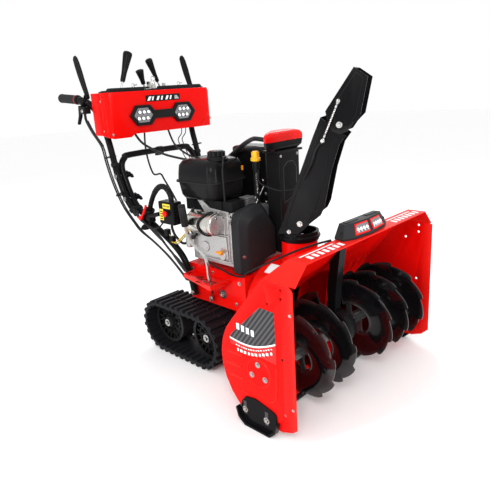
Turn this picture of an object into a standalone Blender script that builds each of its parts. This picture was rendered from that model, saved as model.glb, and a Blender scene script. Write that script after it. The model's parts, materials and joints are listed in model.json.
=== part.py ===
"""A tracked two-stage snowblower, built as separate sub-parts.

Metres, +Z up.  The auger housing faces -Y and the handlebars are at +Y.  The empty "machine"
carries every sub-part, so all lengths below along Y are measured back from the housing's front
edge, and the ground is z = 0.
"""
import math

import bmesh
import bpy
from mathutils import Matrix, Vector

FRONT_Y = -0.60877           # world Y of the housing's front edge
GAP = 0.0004                 # clearance between parts that touch
SHEET = 0.003                # sheet steel

# auger housing
HOUSE_HALF = 0.385           # half the width over the side plates
HOUSE_TOP = 0.527
CORNER = 0.050               # 45 degree corner at each end of the top panel
SLOPE_SUM = 0.590            # the slanted back panel lies on y + z = SLOPE_SUM
ARC_Y = 0.100                # centre of the housing's round back
ARC_Z = 0.195
ARC_R = 0.192
FLARE = 0.022                # width of the turned-out front strip
FLARE_OUT = 0.008

# augers
AUGER_Y = 0.128
AUGER_Z = 0.188
AUGER_R = 0.150
RIBBON_R = 0.088             # inner edge of the auger flights
TOOTH = 0.010                # depth of the notches in their outer edge
ARM_COUNT = 6                # arms from each auger tube to its flight
AUGER_TUBE = 0.022
GEARBOX_HALF = 0.036

# impeller and its drum
DRUM_R = 0.178
DRUM_Z = 0.213
DRUM_BACK = 0.392
SHAFT_R = 0.0095

# chute
CHUTE_Y = 0.285
COLLAR_R = 0.061
COLLAR_TOP = 0.4675
RING_TOP = 0.5000
CHUTE_YAW = math.radians(25)
CHUTE_HALF = 0.062
CHUTE_WALL = 0.003
HINGE_S = 0.148              # deflector hinge: distance ahead of the chute's axis
HINGE_Z = 0.845

# tracks
TRACK_INNER = 0.128
TRACK_OUTER = 0.266
AXLE_Z = 0.105
FRONT_AXLE = 0.550
REAR_AXLE = 0.775
BELT_IN = 0.084
BELT_OUT = 0.094
LUG_OUT = 0.105
WHEEL_R = 0.0835

# chassis and engine
CHASSIS_HALF = 0.112
CHASSIS_FRONT = 0.396
CHASSIS_REAR = 0.692
CHASSIS_TOP = 0.356
TILT_PIN = (-0.1680, 0.5620, 0.2400)

# handlebars and dash
FRAME_TUBE_X = 0.1885       # upper end of the U-shaped handle frame, from the middle
HANDLE_TUBE_X = 0.2145      # handlebar tubes, clamped outside the frame
DASH_HALF = 0.266
DASH_TOP = 0.978
DASH_BOTTOM = 0.812
TUBE_R = 0.0125

FINISH = {
    "red_paint": ((0.75, 0.012, 0.008), 0.28, 0.0),
    "black_plastic": ((0.012, 0.012, 0.013), 0.35, 0.0),
    "black_paint": ((0.010, 0.010, 0.010), 0.22, 0.0),
    "grey_plastic": ((0.035, 0.036, 0.038), 0.45, 0.0),
    "rubber": ((0.015, 0.015, 0.016), 0.70, 0.0),
    "cast_aluminium": ((0.55, 0.56, 0.57), 0.42, 0.9),
    "zinc": ((0.62, 0.62, 0.60), 0.30, 1.0),
    "yellow_plastic": ((0.95, 0.55, 0.02), 0.35, 0.0),
    "red_plastic": ((0.80, 0.02, 0.015), 0.35, 0.0),
    "lamp_lens": ((0.80, 0.82, 0.85), 0.10, 0.0),
}


# ---------------------------------------------------------------- helpers

def clear_scene():
    """Remove every object that the file starts with."""
    for old in list(bpy.data.objects):
        bpy.data.objects.remove(old, do_unlink=True)


def finish_material(name):
    """The Principled material called name, made once."""
    if name in bpy.data.materials:
        return bpy.data.materials[name]
    colour, roughness, metallic = FINISH[name]
    material = bpy.data.materials.new(name)
    material.use_nodes = True
    shader = material.node_tree.nodes["Principled BSDF"]
    shader.inputs["Base Color"].default_value = (*colour, 1.0)
    shader.inputs["Roughness"].default_value = roughness
    shader.inputs["Metallic"].default_value = metallic
    material.diffuse_color = (*colour, 1.0)
    return material


def place(name, data, finish, at=(0, 0, 0), parent=None):
    """Link an object that holds data, with its origin at a machine position."""
    thing = bpy.data.objects.new(name, data)
    bpy.context.scene.collection.objects.link(thing)
    thing.parent = parent or bpy.data.objects["machine"]
    thing.location = at
    if finish:
        base = bpy.data.materials.get(name) or finish_material(finish).copy()
        base.name = name
        data.materials.append(base)
    return thing


def mesh_from(bm, name, smooth=None):
    """Turn a bmesh into mesh data, its faces turned outwards."""
    bmesh.ops.recalc_face_normals(bm, faces=bm.faces[:])
    if smooth:
        for face in bm.faces:
            face.smooth = True
        for edge in bm.edges:
            edge.smooth = edge.calc_face_angle(0) < math.radians(smooth)
    data = bpy.data.meshes.new(name)
    bm.to_mesh(data)
    bm.free()
    return data


def box_mesh(name, low, high):
    """A box between two corners."""
    bm = bmesh.new()
    bmesh.ops.create_cube(bm, size=1.0)
    size = [high[i] - low[i] for i in range(3)]
    middle = [(high[i] + low[i]) / 2 for i in range(3)]
    bmesh.ops.transform(bm, matrix=Matrix.Translation(middle) @ Matrix.Diagonal((*size, 1)), verts=bm.verts[:])
    return mesh_from(bm, name)


def prism_mesh(name, outline, axis, start, stop):
    """An outline of two coordinates, extruded along axis x, y or z from start to stop."""
    bm = bmesh.new()

    def point(a, b, along):
        return {"x": (along, a, b), "y": (a, along, b), "z": (a, b, along)}[axis]

    near = [bm.verts.new(point(a, b, start)) for a, b in outline]
    far = [bm.verts.new(point(a, b, stop)) for a, b in outline]
    count = len(outline)
    bm.faces.new(near)
    bm.faces.new(far)
    for i in range(count):
        bm.faces.new((near[i], near[(i + 1) % count], far[(i + 1) % count], far[i]))
    return mesh_from(bm, name)


def lathe_mesh(name, profile, axis="z", steps=32, closed=False):
    """Turn (radius, along) points about an axis; a profile that isn't closed ends on the axis."""
    bm = bmesh.new()
    turn = {"z": Matrix.Identity(4), "x": Matrix.Rotation(math.radians(90), 4, "Y"),
            "y": Matrix.Rotation(math.radians(-90), 4, "X")}[axis]
    rings = []
    for radius, along in profile:
        if radius < 1e-7:
            rings.append([bm.verts.new((0, 0, along))])
            continue
        ring = []
        for i in range(steps):
            angle = 2 * math.pi * i / steps
            ring.append(bm.verts.new((radius * math.cos(angle), radius * math.sin(angle), along)))
        rings.append(ring)
    pairs = list(zip(rings, rings[1:]))
    if closed:
        pairs.append((rings[-1], rings[0]))
    for lower, upper in pairs:
        for i in range(steps):
            j = (i + 1) % steps
            corners = [lower[i % len(lower)], lower[j % len(lower)], upper[j % len(upper)], upper[i % len(upper)]]
            bm.faces.new(list(dict.fromkeys(corners)))
    bmesh.ops.transform(bm, matrix=turn, verts=bm.verts[:])
    return mesh_from(bm, name, smooth=35)


def rod_mesh(name, start, stop, radius, steps=16):
    """A round bar from start to stop, relative to start."""
    way = Vector(stop) - Vector(start)
    bm = bmesh.new()
    bmesh.ops.create_cone(bm, cap_ends=True, segments=steps, radius1=radius, radius2=radius, depth=way.length)
    turn = Vector((0, 0, 1)).rotation_difference(way).to_matrix().to_4x4()
    bmesh.ops.transform(bm, matrix=Matrix.Translation(way / 2) @ turn, verts=bm.verts[:])
    return mesh_from(bm, name, smooth=35)


def tube(name, finish, points, radius, sides=2, at=(0, 0, 0), parent=None):
    """A bent round tube through points, as a bevelled curve with filled caps."""
    data = bpy.data.curves.new(name, "CURVE")
    data.dimensions = "3D"
    data.bevel_depth = radius
    data.bevel_resolution = sides
    data.use_fill_caps = True
    spline = data.splines.new("POLY")
    spline.points.add(len(points) - 1)
    for knot, where in zip(spline.points, points):
        knot.co = (*[where[i] - at[i] for i in range(3)], 1)
    spline.use_smooth = True
    return place(name, data, finish, at, parent)


def smooth_path(route, per_span=3):
    """Points on a Catmull-Rom curve through the route's own points."""
    knots = [Vector(p) for p in route]
    ends = [2 * knots[0] - knots[1]] + knots + [2 * knots[-1] - knots[-2]]
    path = []
    for i in range(1, len(ends) - 2):
        a, b, c, d = ends[i - 1:i + 3]
        for k in range(per_span):
            t = k / per_span
            path.append(0.5 * (2 * b + (c - a) * t + (2 * a - 5 * b + 4 * c - d) * t * t
                               + (3 * b - a - 3 * c + d) * t ** 3))
    path.append(knots[-1])
    return path


def combine(target, tool_data, operation, at=(0, 0, 0), turn=None):
    """Add a Boolean modifier with a hidden tool, placed in machine coordinates."""
    tool = bpy.data.objects.new(target.name + "_tool", tool_data)
    bpy.context.scene.collection.objects.link(tool)
    tool.parent = bpy.data.objects["machine"]
    tool.location = at
    if turn:
        tool.rotation_euler = turn
    tool.hide_render = True
    tool.display_type = "WIRE"
    boolean = target.modifiers.new("combine", "BOOLEAN")
    boolean.operation = operation
    boolean.solver = "EXACT"
    boolean.object = tool
    return tool


def bevel(thing, width, segments=1, angle=40):
    """Round the sharp edges of a part."""
    modifier = thing.modifiers.new("edges", "BEVEL")
    modifier.width = width
    modifier.segments = segments
    modifier.limit_method = "ANGLE"
    modifier.angle_limit = math.radians(angle)


def pivot(name, at, parent=None):
    """An empty on a joint's axis."""
    empty = bpy.data.objects.new(name, None)
    bpy.context.scene.collection.objects.link(empty)
    empty.parent = parent
    empty.location = at
    return empty


def around(outline_radius, count, start=0.0):
    """Points of a regular polygon."""
    turns = [start + 2 * math.pi * i / count for i in range(count)]
    return [(outline_radius * math.cos(t), outline_radius * math.sin(t)) for t in turns]


# ---------------------------------------------------------------- auger housing

def housing_profile(grow=0.0, top=HOUSE_TOP, corner=True):
    """The (y, z) line of the housing sheet, from the front of its top panel to its lower edge."""
    points = [(0.0, top + grow), (SLOPE_SUM - top + grow * 0.4, top + grow)]
    last = math.radians(-62)
    for i in range(9):
        angle = math.radians(45) + (last - math.radians(45)) * i / 8
        radius = ARC_R + grow
        points.append((ARC_Y + radius * math.cos(angle), ARC_Z + radius * math.sin(angle)))
    points.append((0.150, points[-1][1] - 0.001))
    return points


def make_housing_shell():
    """The wrapped sheet: top panel with 45 degree corners, slanted back and round back."""
    inner = HOUSE_HALF - SHEET - 0.0020
    bm = bmesh.new()
    rows = []
    for x, top in ((-inner, HOUSE_TOP - CORNER), (CORNER - inner, HOUSE_TOP),
                   (inner - CORNER, HOUSE_TOP), (inner, HOUSE_TOP - CORNER)):
        rows.append([bm.verts.new((x, y, z)) for y, z in housing_profile(-SHEET, top)])
    for left, right in zip(rows, rows[1:]):
        for i in range(len(left) - 1):
            bm.faces.new((left[i], left[i + 1], right[i + 1], right[i]))
    bmesh.ops.recalc_face_normals(bm, faces=bm.faces[:])
    if sum((f.normal.z for f in bm.faces if f.calc_center_median().z > 0.5)) < 0:
        bmesh.ops.reverse_faces(bm, faces=bm.faces[:])
    data = bpy.data.meshes.new("auger_housing_shell")
    bm.to_mesh(data)
    bm.free()
    shell = place("auger_housing_shell", data, "red_paint")
    thick = shell.modifiers.new("sheet", "SOLIDIFY")
    thick.thickness = SHEET
    thick.offset = 1.0
    thick.use_even_offset = True
    mouth = lathe_mesh("mouth", [(0, 0.20), (0.150, 0.20), (0.150, 0.36), (0, 0.36)], "y", 24)
    combine(shell, mouth, "DIFFERENCE", (0, 0, DRUM_Z))
    return shell


def side_outline():
    """The side plate's (y, z) outline behind its turned-out strip."""
    top = HOUSE_TOP - CORNER
    back = housing_profile(0.0, top)[1:-1]
    return [(FLARE, top)] + back + [(0.060, 0.026), (FLARE, 0.040)]


def make_housing_side(side, name):
    """One side plate with its front strip turned outwards; side is -1 or +1."""
    bm = bmesh.new()
    outline = side_outline()
    flat = [bm.verts.new((side * (HOUSE_HALF - SHEET), y, z)) for y, z in outline]
    bm.faces.new(flat)
    lip_x = side * (HOUSE_HALF - SHEET + FLARE_OUT)
    lip_top = bm.verts.new((lip_x, 0.0, HOUSE_TOP - CORNER - 0.010))
    lip_bottom = bm.verts.new((lip_x, 0.0, 0.060))
    bm.faces.new((flat[0], flat[-1], lip_bottom, lip_top))
    bmesh.ops.recalc_face_normals(bm, faces=bm.faces[:])
    bm.normal_update()
    if bm.faces[:][0].normal.x * side < 0:
        bmesh.ops.reverse_faces(bm, faces=bm.faces[:])
    data = bpy.data.meshes.new(name)
    bm.to_mesh(data)
    bm.free()
    plate = place(name, data, "red_paint")
    thick = plate.modifiers.new("sheet", "SOLIDIFY")
    thick.thickness = SHEET
    thick.offset = 1.0
    thick.use_even_offset = True
    outer = side * (HOUSE_HALF - SHEET * 0.5)
    inner = side * (HOUSE_HALF - SHEET - 0.014)
    bearing = [(0.0135, outer), (0.046, outer), (0.046, outer - side * 0.0055), (0.026, outer - side * 0.007),
               (0.026, inner), (0.0135, inner)]
    flange = lathe_mesh("bearing", bearing, "x", 20, closed=True)
    combine(plate, flange, "UNION", (0, AUGER_Y, AUGER_Z))
    return plate


def make_scraper():
    """The steel bar under the housing's lower edge."""
    low = (-HOUSE_HALF + 0.012, 0.140, 0.0100)
    high = (HOUSE_HALF - 0.012, 0.188, 0.0200)
    return place("scraper_bar", box_mesh("scraper_bar", low, high), "black_paint")


def make_skid_shoe(side, name):
    """A height shoe: an upright plate whose curved rim turns outwards below it."""
    inner = side * (HOUSE_HALF + GAP)
    plate = [(0.074, 0.030), (0.078, 0.072), (0.088, 0.080), (0.158, 0.096), (0.196, 0.090), (0.210, 0.074),
             (0.220, 0.034), (0.196, 0.003), (0.096, 0.003)]
    shoe = place(name, prism_mesh(name, plate, "x", inner, inner + side * 0.006), "black_paint")
    rim = [(0.066, 0.052), (0.072, 0.052), (0.080, 0.026), (0.101, 0.007), (0.190, 0.007), (0.213, 0.024),
           (0.222, 0.052), (0.228, 0.050), (0.219, 0.019), (0.194, 0.0), (0.097, 0.0), (0.074, 0.021)]
    combine(shoe, prism_mesh("rim", rim, "x", inner + side * 0.001, inner + side * 0.018), "UNION")
    return shoe


# ---------------------------------------------------------------- augers

def flight_angle(share, turns, hand, phase):
    """The turn about X reached at a share of a flight's length."""
    return phase + hand * 2 * math.pi * turns * share


def flight_mesh(name, start, stop, turns, hand, phase):
    """A toothed ribbon flight wound about X from start to stop, open in the middle."""
    bm = bmesh.new()
    steps = int(turns * 24)
    front = []
    back = []
    for i in range(steps + 1):
        angle = flight_angle(i / steps, turns, hand, phase)
        x = start + (stop - start) * i / steps
        outer = AUGER_R - (TOOTH if i % 2 else 0.0)
        for row, push in ((front, -0.002), (back, 0.002)):
            row.append([bm.verts.new((x + push, radius * math.cos(angle), radius * math.sin(angle)))
                        for radius in (RIBBON_R, outer)])
    for i in range(steps):
        for row in (front, back):
            bm.faces.new((row[i][0], row[i + 1][0], row[i + 1][1], row[i][1]))
        for edge in (0, 1):
            bm.faces.new((front[i][edge], back[i][edge], back[i + 1][edge], front[i + 1][edge]))
    for end in (0, steps):
        bm.faces.new((front[end][0], front[end][1], back[end][1], back[end][0]))
    return mesh_from(bm, name)


def make_auger(side, name, parent):
    """One handed auger: a tube over the shaft whose arms carry a toothed ribbon flight."""
    near = side * (GEARBOX_HALF + 0.006)
    far = side * 0.362
    profile = [(0.0125, near), (AUGER_TUBE, near), (AUGER_TUBE, far), (0.0125, far)]
    auger = place(name, lathe_mesh(name, profile, "x", 20, closed=True), "black_paint",
                  (0, AUGER_Y, AUGER_Z), parent)
    start = side * 0.054
    stop = side * 0.326
    turns = 2.5
    phase = math.radians(70)
    flight = flight_mesh("flight", start, stop, turns, side, phase)
    combine(auger, flight, "UNION", (0, AUGER_Y, AUGER_Z))
    for i in range(ARM_COUNT):
        share = 0.02 + 0.96 * i / (ARM_COUNT - 1)
        angle = flight_angle(share, turns, side, phase)
        arm = box_mesh("arm", (-0.0035, AUGER_TUBE - 0.006, -0.009), (0.0035, RIBBON_R + 0.008, 0.009))
        x = start + (stop - start) * share
        combine(auger, arm, "UNION", (x, AUGER_Y, AUGER_Z), (angle, 0, 0))
    return auger


def make_auger_shaft(parent):
    """The cross shaft that carries both augers through the gearbox."""
    half = HOUSE_HALF - SHEET - GAP
    shaft = lathe_mesh("auger_shaft", [(0, -half), (0.012, -half), (0.012, half), (0, half)], "x", 20)
    return place("auger_shaft", shaft, "zinc", (0, AUGER_Y, AUGER_Z), parent)


def make_gearbox():
    """The worm gearbox between the augers, its rear neck and its brace up to the slanted panel."""
    body = [(0.0135, -GEARBOX_HALF), (0.030, -GEARBOX_HALF), (0.054, -0.022), (0.060, 0), (0.054, 0.022),
            (0.030, GEARBOX_HALF), (0.0135, GEARBOX_HALF)]
    gearbox = place("auger_gearbox", lathe_mesh("auger_gearbox", body, "x", 24, closed=True), "black_paint",
                    (0, AUGER_Y, AUGER_Z))
    neck = lathe_mesh("neck", [(0.0135, 0.035), (0.026, 0.035), (0.022, 0.110), (0.0135, 0.110)], "y", 20, closed=True)
    combine(gearbox, neck, "UNION", (0, AUGER_Y, DRUM_Z))
    strut = [(0.135, AUGER_Z + 0.045), (0.160, AUGER_Z + 0.045), (0.163, 0.330), (0.150, 0.4205), (0.110, 0.4660),
             (0.128, 0.330)]
    combine(gearbox, prism_mesh("strut", strut, "x", -0.017, 0.017), "UNION")
    return gearbox


# ---------------------------------------------------------------- impeller and drum

def make_drum():
    """The impeller drum with its chute collar, cut to the housing's round back."""
    outer = lathe_mesh("impeller_drum", [(0, 0.163), (DRUM_R, 0.163), (DRUM_R, DRUM_BACK), (0, DRUM_BACK)], "y", 36)
    drum = place("impeller_drum", outer, "red_paint", (0, 0, DRUM_Z))
    low = DRUM_Z + 0.100
    collar = lathe_mesh("collar", [(0, low), (COLLAR_R, low), (COLLAR_R, COLLAR_TOP), (0, COLLAR_TOP)], "z", 32)
    combine(drum, collar, "UNION", (0, CHUTE_Y, 0))
    inside = DRUM_R - SHEET
    hollow = lathe_mesh("hollow", [(0, 0.10), (inside, 0.10), (inside, DRUM_BACK - SHEET), (0, DRUM_BACK - SHEET)],
                        "y", 36)
    combine(drum, hollow, "DIFFERENCE", (0, 0, DRUM_Z))
    throat_r = COLLAR_R - SHEET
    throat = lathe_mesh("throat", [(0, 0.245), (throat_r, 0.245), (throat_r, 0.6), (0, 0.6)], "z", 28)
    combine(drum, throat, "DIFFERENCE", (0, CHUTE_Y, 0))
    outline = [(-0.05, 0.60)] + housing_profile(GAP)[1:] + [(-0.05, 0.0)]
    combine(drum, prism_mesh("housing_cut", outline, "x", -0.4, 0.4), "DIFFERENCE")
    hole = lathe_mesh("hole", [(0, 0.36), (0.016, 0.36), (0.016, 0.45), (0, 0.45)], "y", 16)
    combine(drum, hole, "DIFFERENCE", (0, 0, DRUM_Z))
    return drum


def make_impeller(parent):
    """The four-bladed thrower, with its shaft and belt pulley."""
    turned = [(0, 0.262), (SHAFT_R, 0.262), (SHAFT_R, 0.308), (0.026, 0.308), (0.026, 0.382), (SHAFT_R, 0.382),
              (SHAFT_R, 0.408), (0.048, 0.408), (0.044, 0.414), (0.048, 0.420), (0, 0.420)]
    hub = lathe_mesh("impeller", turned, "y", 20)
    rotor = place("impeller", hub, "black_paint", (0, 0, DRUM_Z), parent)
    for i in range(4):
        blade = box_mesh("blade", (0.018, 0.312, -0.003), (DRUM_R - SHEET - 0.006, 0.376, 0.003))
        combine(rotor, blade, "UNION", (0, 0, DRUM_Z), (0, math.radians(90 * i + 20), 0))
    return rotor


# ---------------------------------------------------------------- chute

def chute_point(s, lateral, z):
    """Machine position of a chute point: s ahead of the chute's axis, lateral to its left."""
    along = Vector((math.sin(CHUTE_YAW), -math.cos(CHUTE_YAW)))
    across = Vector((-math.cos(CHUTE_YAW), -math.sin(CHUTE_YAW)))
    flat = along * s + across * lateral
    return (flat.x, CHUTE_Y + flat.y, z)


CHUTE_TURN = math.atan2(-math.cos(CHUTE_YAW), math.sin(CHUTE_YAW))


def chute_prism(name, outline, half):
    """An (s, z) outline extruded to both sides of the chute's middle plane."""
    data = prism_mesh(name, outline, "y", -half, half)
    data.transform(Matrix.Rotation(CHUTE_TURN, 4, "Z"))
    return data


def make_chute_ring(parent):
    """The turning ring on top of the collar."""
    base = COLLAR_TOP + 0.001
    profile = [(0.0565, base), (0.066, base), (0.066, base + 0.008), (0.0705, base + 0.010), (0.0705, base + 0.0175),
               (0.066, base + 0.0195), (0.066, RING_TOP), (0.0565, RING_TOP)]
    return place("chute_ring", lathe_mesh("chute_ring", profile, "z", 36, closed=True), "black_plastic",
                 (0, CHUTE_Y, 0), parent)


def make_chute(parent):
    """The lower chute: a channel open at its front, leaning forward."""
    base = RING_TOP + GAP
    outline = [(-0.058, base), (-0.040, 0.540), (-0.018, 0.602), (0.024, 0.705), (0.067, 0.815), (0.090, 0.868),
               (0.166, 0.812), (0.146, 0.785), (0.121, 0.705), (0.098, 0.592), (0.086, 0.566), (0.056, 0.542),
               (0.012, base)]
    chute = place("chute", chute_prism("chute", outline, CHUTE_HALF), "black_plastic", (0, CHUTE_Y, 0), parent)
    wall = CHUTE_WALL
    inside = [(-0.058 + wall, base - 0.02), (-0.058 + wall, base), (-0.040 + wall, 0.540), (-0.018 + wall, 0.602),
              (0.024 + wall, 0.705), (0.067 + wall, 0.815), (0.110, 0.920), (0.260, 0.900), (0.260, base - 0.02)]
    combine(chute, chute_prism("inside", inside, CHUTE_HALF - wall), "DIFFERENCE", (0, CHUTE_Y, 0))
    bracket = box_mesh("bracket", (-0.010, -0.001, -0.005), (0.010, 0.014, 0.005))
    combine(chute, bracket, "UNION", chute_point(0.096, CHUTE_HALF, 0.795), (0, math.radians(-25), CHUTE_TURN))
    return chute


def make_deflector(parent):
    """The upper chute, which tilts about a pin through both its ears."""
    outline = [(0.106, 0.886), (0.190, 1.006), (0.230, 0.977), (0.209, 0.870), (0.186, 0.847), (0.170, 0.824),
               (0.148, 0.817), (0.126, 0.826), (0.114, 0.846)]
    half = CHUTE_HALF + 0.0045
    shift = Vector((0, CHUTE_Y, 0)) - Vector(chute_point(HINGE_S, 0, HINGE_Z))
    data = chute_prism("chute_deflector", outline, half)
    data.transform(Matrix.Translation(shift))
    deflector = place("chute_deflector", data, "black_plastic", (0, 0, 0), parent)
    inside = [(0.1096, 0.884), (0.200, 1.0135), (0.290, 1.000), (0.290, 0.780), (0.080, 0.780), (0.080, 0.884)]
    combine(deflector, chute_prism("inside", inside, half - CHUTE_WALL), "DIFFERENCE", (0, CHUTE_Y, 0))
    for side in (1, -1):
        start = chute_point(HINGE_S, side * (half - 0.001), HINGE_Z)
        stop = chute_point(HINGE_S, side * (half + 0.004), HINGE_Z)
        combine(deflector, rod_mesh("pin", start, stop, 0.007, 12), "UNION", start)
    tab = box_mesh("tab", (-0.010, -0.001, -0.008), (0.010, 0.014, 0.008))
    combine(deflector, tab, "UNION", chute_point(0.146, half, 0.915), (0, 0, CHUTE_TURN))
    return deflector


# ---------------------------------------------------------------- lights on the housing

def make_work_light():
    """The lamp bar on the top panel, with its pointed front and two lenses."""
    base = HOUSE_TOP + GAP
    outline = [(-0.120, 0.030), (-0.112, 0.066), (0.112, 0.066), (0.120, 0.030), (0.080, 0.014), (0, 0.006),
               (-0.080, 0.014)]
    body = place("work_light_body", prism_mesh("work_light_body", outline, "z", base, base + 0.045), "grey_plastic")
    low = (-0.088, 0.020, base + 0.014)
    high = (0.088, 0.056, base + 0.039)
    pocket = box_mesh("pocket", (low[0] - GAP, -0.01, low[2] - GAP), (high[0] + GAP, high[1] + GAP, high[2] + GAP))
    combine(body, pocket, "DIFFERENCE")
    place("work_light_lens", box_mesh("work_light_lens", low, high), "lamp_lens")
    return body


# ---------------------------------------------------------------- chassis

def make_chassis():
    """The folded steel box that carries the engine, axles and handlebars."""
    side = [(CHASSIS_FRONT, 0.150), (CHASSIS_FRONT, CHASSIS_TOP), (CHASSIS_REAR, CHASSIS_TOP), (CHASSIS_REAR, 0.150)]
    chassis = place("chassis_frame", prism_mesh("chassis_frame", side, "x", -CHASSIS_HALF, CHASSIS_HALF), "red_paint")
    inner = CHASSIS_HALF - SHEET
    low = (-inner, CHASSIS_FRONT + SHEET, 0.10)
    high = (inner, CHASSIS_REAR - SHEET, CHASSIS_TOP - SHEET)
    combine(chassis, box_mesh("inside", low, high), "DIFFERENCE")
    notch = lathe_mesh("notch", [(0, 0.39), (0.055, 0.39), (0.055, 0.405), (0, 0.405)], "y", 24)
    combine(chassis, notch, "DIFFERENCE", (0, 0, DRUM_Z))
    shoulder = [(0.400, 0.215), (0.400, 0.350), (0.430, 0.3545), (0.690, 0.3545), (0.691, 0.215)]
    beam = [(0.520, 0.085), (0.800, 0.085), (0.800, 0.125), (0.690, 0.135), (0.680, 0.230), (0.600, 0.230),
            (0.590, 0.135), (0.520, 0.125)]
    for side in (-1, 1):
        inner = side * (CHASSIS_HALF - 0.001)
        combine(chassis, prism_mesh("shoulder", shoulder, "x", inner, side * 0.160), "UNION")
        combine(chassis, prism_mesh("beam", beam, "x", side * 0.119, side * 0.1275), "UNION")
    ledge = [(-0.159, 0.460), (-0.243, 0.484), (-0.243, 0.530), (-0.205, 0.648), (-0.159, 0.656)]
    combine(chassis, prism_mesh("ledge", ledge, "z", 0.3230, 0.3255), "UNION")
    combine(chassis, box_mesh("slot", (-0.2350, 0.488, 0.30), (-0.2080, 0.560, 0.34)), "DIFFERENCE")
    for y in (FRONT_AXLE, REAR_AXLE):
        bore = lathe_mesh("bore", [(0, -0.3), (0.0125, -0.3), (0.0125, 0.3), (0, 0.3)], "x", 16)
        combine(chassis, bore, "DIFFERENCE", (0, y, AXLE_Z))
    return chassis


def make_tilt_lever(parent):
    """The bent lever through the gate and its grip, turning about a bolt on the chassis."""
    pin = Vector(TILT_PIN)
    route = [(-0.1700, 0.566, 0.232), (-0.1740, 0.558, 0.252), (-0.200, 0.524, 0.288), (-0.2225, 0.504, 0.326),
             (-0.2400, 0.491, 0.366), (-0.2410, 0.498, 0.428), (-0.2410, 0.560, 0.466), (-0.2410, 0.582, 0.484),
             (-0.2410, 0.588, 0.506), (-0.2410, 0.5905, 0.522)]
    tube("tilt_lever", "zinc", [p - pin for p in smooth_path(route, 2)], 0.006, 1, parent=parent)
    foot = Vector((-0.2410, 0.5906, 0.5226))
    grip = rod_mesh("tilt_lever_grip", foot, (-0.2410, 0.6020, 0.6000), 0.0130, 12)
    place("tilt_lever_grip", grip, "black_plastic", foot - pin, parent)


# ---------------------------------------------------------------- tracks

def stadium(radius, count=10):
    """The (y, z) loop of a belt round both axles at a radius from their centres."""
    points = []
    for i in range(count + 1):
        angle = math.radians(-90) - math.pi * i / count
        points.append((FRONT_AXLE + radius * math.cos(angle), AXLE_Z + radius * math.sin(angle)))
    for i in range(count + 1):
        angle = math.radians(90) - math.pi * i / count
        points.append((REAR_AXLE + radius * math.cos(angle), AXLE_Z + radius * math.sin(angle)))
    return points


def lug_loop(pitches):
    """The belt's outer line with a lug on every pitch."""
    straight = REAR_AXLE - FRONT_AXLE
    arc = math.pi * BELT_OUT
    total = 2 * straight + 2 * arc

    def at(distance, height):
        distance %= total
        radius = BELT_OUT + height
        if distance < straight:
            return (FRONT_AXLE + distance, AXLE_Z + radius)
        distance -= straight
        if distance < arc:
            angle = math.pi / 2 - distance / BELT_OUT
            return (REAR_AXLE + radius * math.cos(angle), AXLE_Z + radius * math.sin(angle))
        distance -= arc
        if distance < straight:
            return (REAR_AXLE - distance, AXLE_Z - radius)
        angle = -math.pi / 2 - (distance - straight) / BELT_OUT
        return (FRONT_AXLE + radius * math.cos(angle), AXLE_Z + radius * math.sin(angle))

    pitch = total / pitches
    lug = LUG_OUT - BELT_OUT
    points = []
    for i in range(pitches):
        for part, height in ((0.0, 0.0), (0.45, 0.0), (0.55, lug), (0.90, lug)):
            points.append(at((i + part) * pitch, height))
    return points


def make_track(side, name):
    """A rubber track with lugs across its outside and a wheel-sized loop inside."""
    inner = side * TRACK_INNER
    outer = side * TRACK_OUTER
    belt = place(name, prism_mesh(name, lug_loop(34), "x", inner, outer), "rubber")
    combine(belt, prism_mesh("loop", stadium(BELT_IN, 12), "x", inner - side * 0.01, outer + side * 0.01), "DIFFERENCE")
    return belt


def make_wheel(side, name, parent):
    """A track wheel: hub, five spokes and rim."""
    inner = side * (TRACK_INNER + 0.018)
    outer = side * (TRACK_OUTER - 0.050)
    rim = [(0.070, inner), (WHEEL_R - 0.0005, inner), (WHEEL_R - 0.0005, outer), (0.070, outer)]
    wheel = place(name, lathe_mesh(name, rim, "x", 24, closed=True), "black_plastic", (0, 0, 0), parent)
    where = parent.location
    hub = [(0.0125, inner), (0.028, inner), (0.028, outer + side * 0.006), (0.0125, outer + side * 0.006)]
    combine(wheel, lathe_mesh("hub", hub, "x", 16, closed=True), "UNION", where)
    for i in range(5):
        low = (min(inner, outer) + 0.006, -0.006, 0.018)
        high = (max(inner, outer) - 0.006, 0.006, 0.076)
        combine(wheel, box_mesh("spoke", low, high), "UNION", where, (math.radians(72 * i), 0, 0))
    return wheel


def make_axle(y, name):
    """A straight axle under the chassis, out to both hubs."""
    half = TRACK_OUTER - 0.040
    return place(name, lathe_mesh(name, [(0, -half), (0.012, -half), (0.012, half), (0, half)], "x", 16), "zinc",
                 (0, y, AXLE_Z))


# ---------------------------------------------------------------- engine

def make_engine():
    """Crankcase, cylinder and head as one casting."""
    base = CHASSIS_TOP + 0.018
    engine = place("engine_block", box_mesh("engine_block", (-0.150, 0.452, base), (0.052, 0.665, 0.560)),
                   "cast_aluminium")
    combine(engine, box_mesh("head", (0.030, 0.480, base + 0.001), (0.185, 0.640, 0.478)), "UNION")
    foot = box_mesh("foot", (-0.110, 0.456, CHASSIS_TOP + GAP), (0.110, 0.662, CHASSIS_TOP + 0.022))
    combine(engine, foot, "UNION")
    return engine


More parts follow.
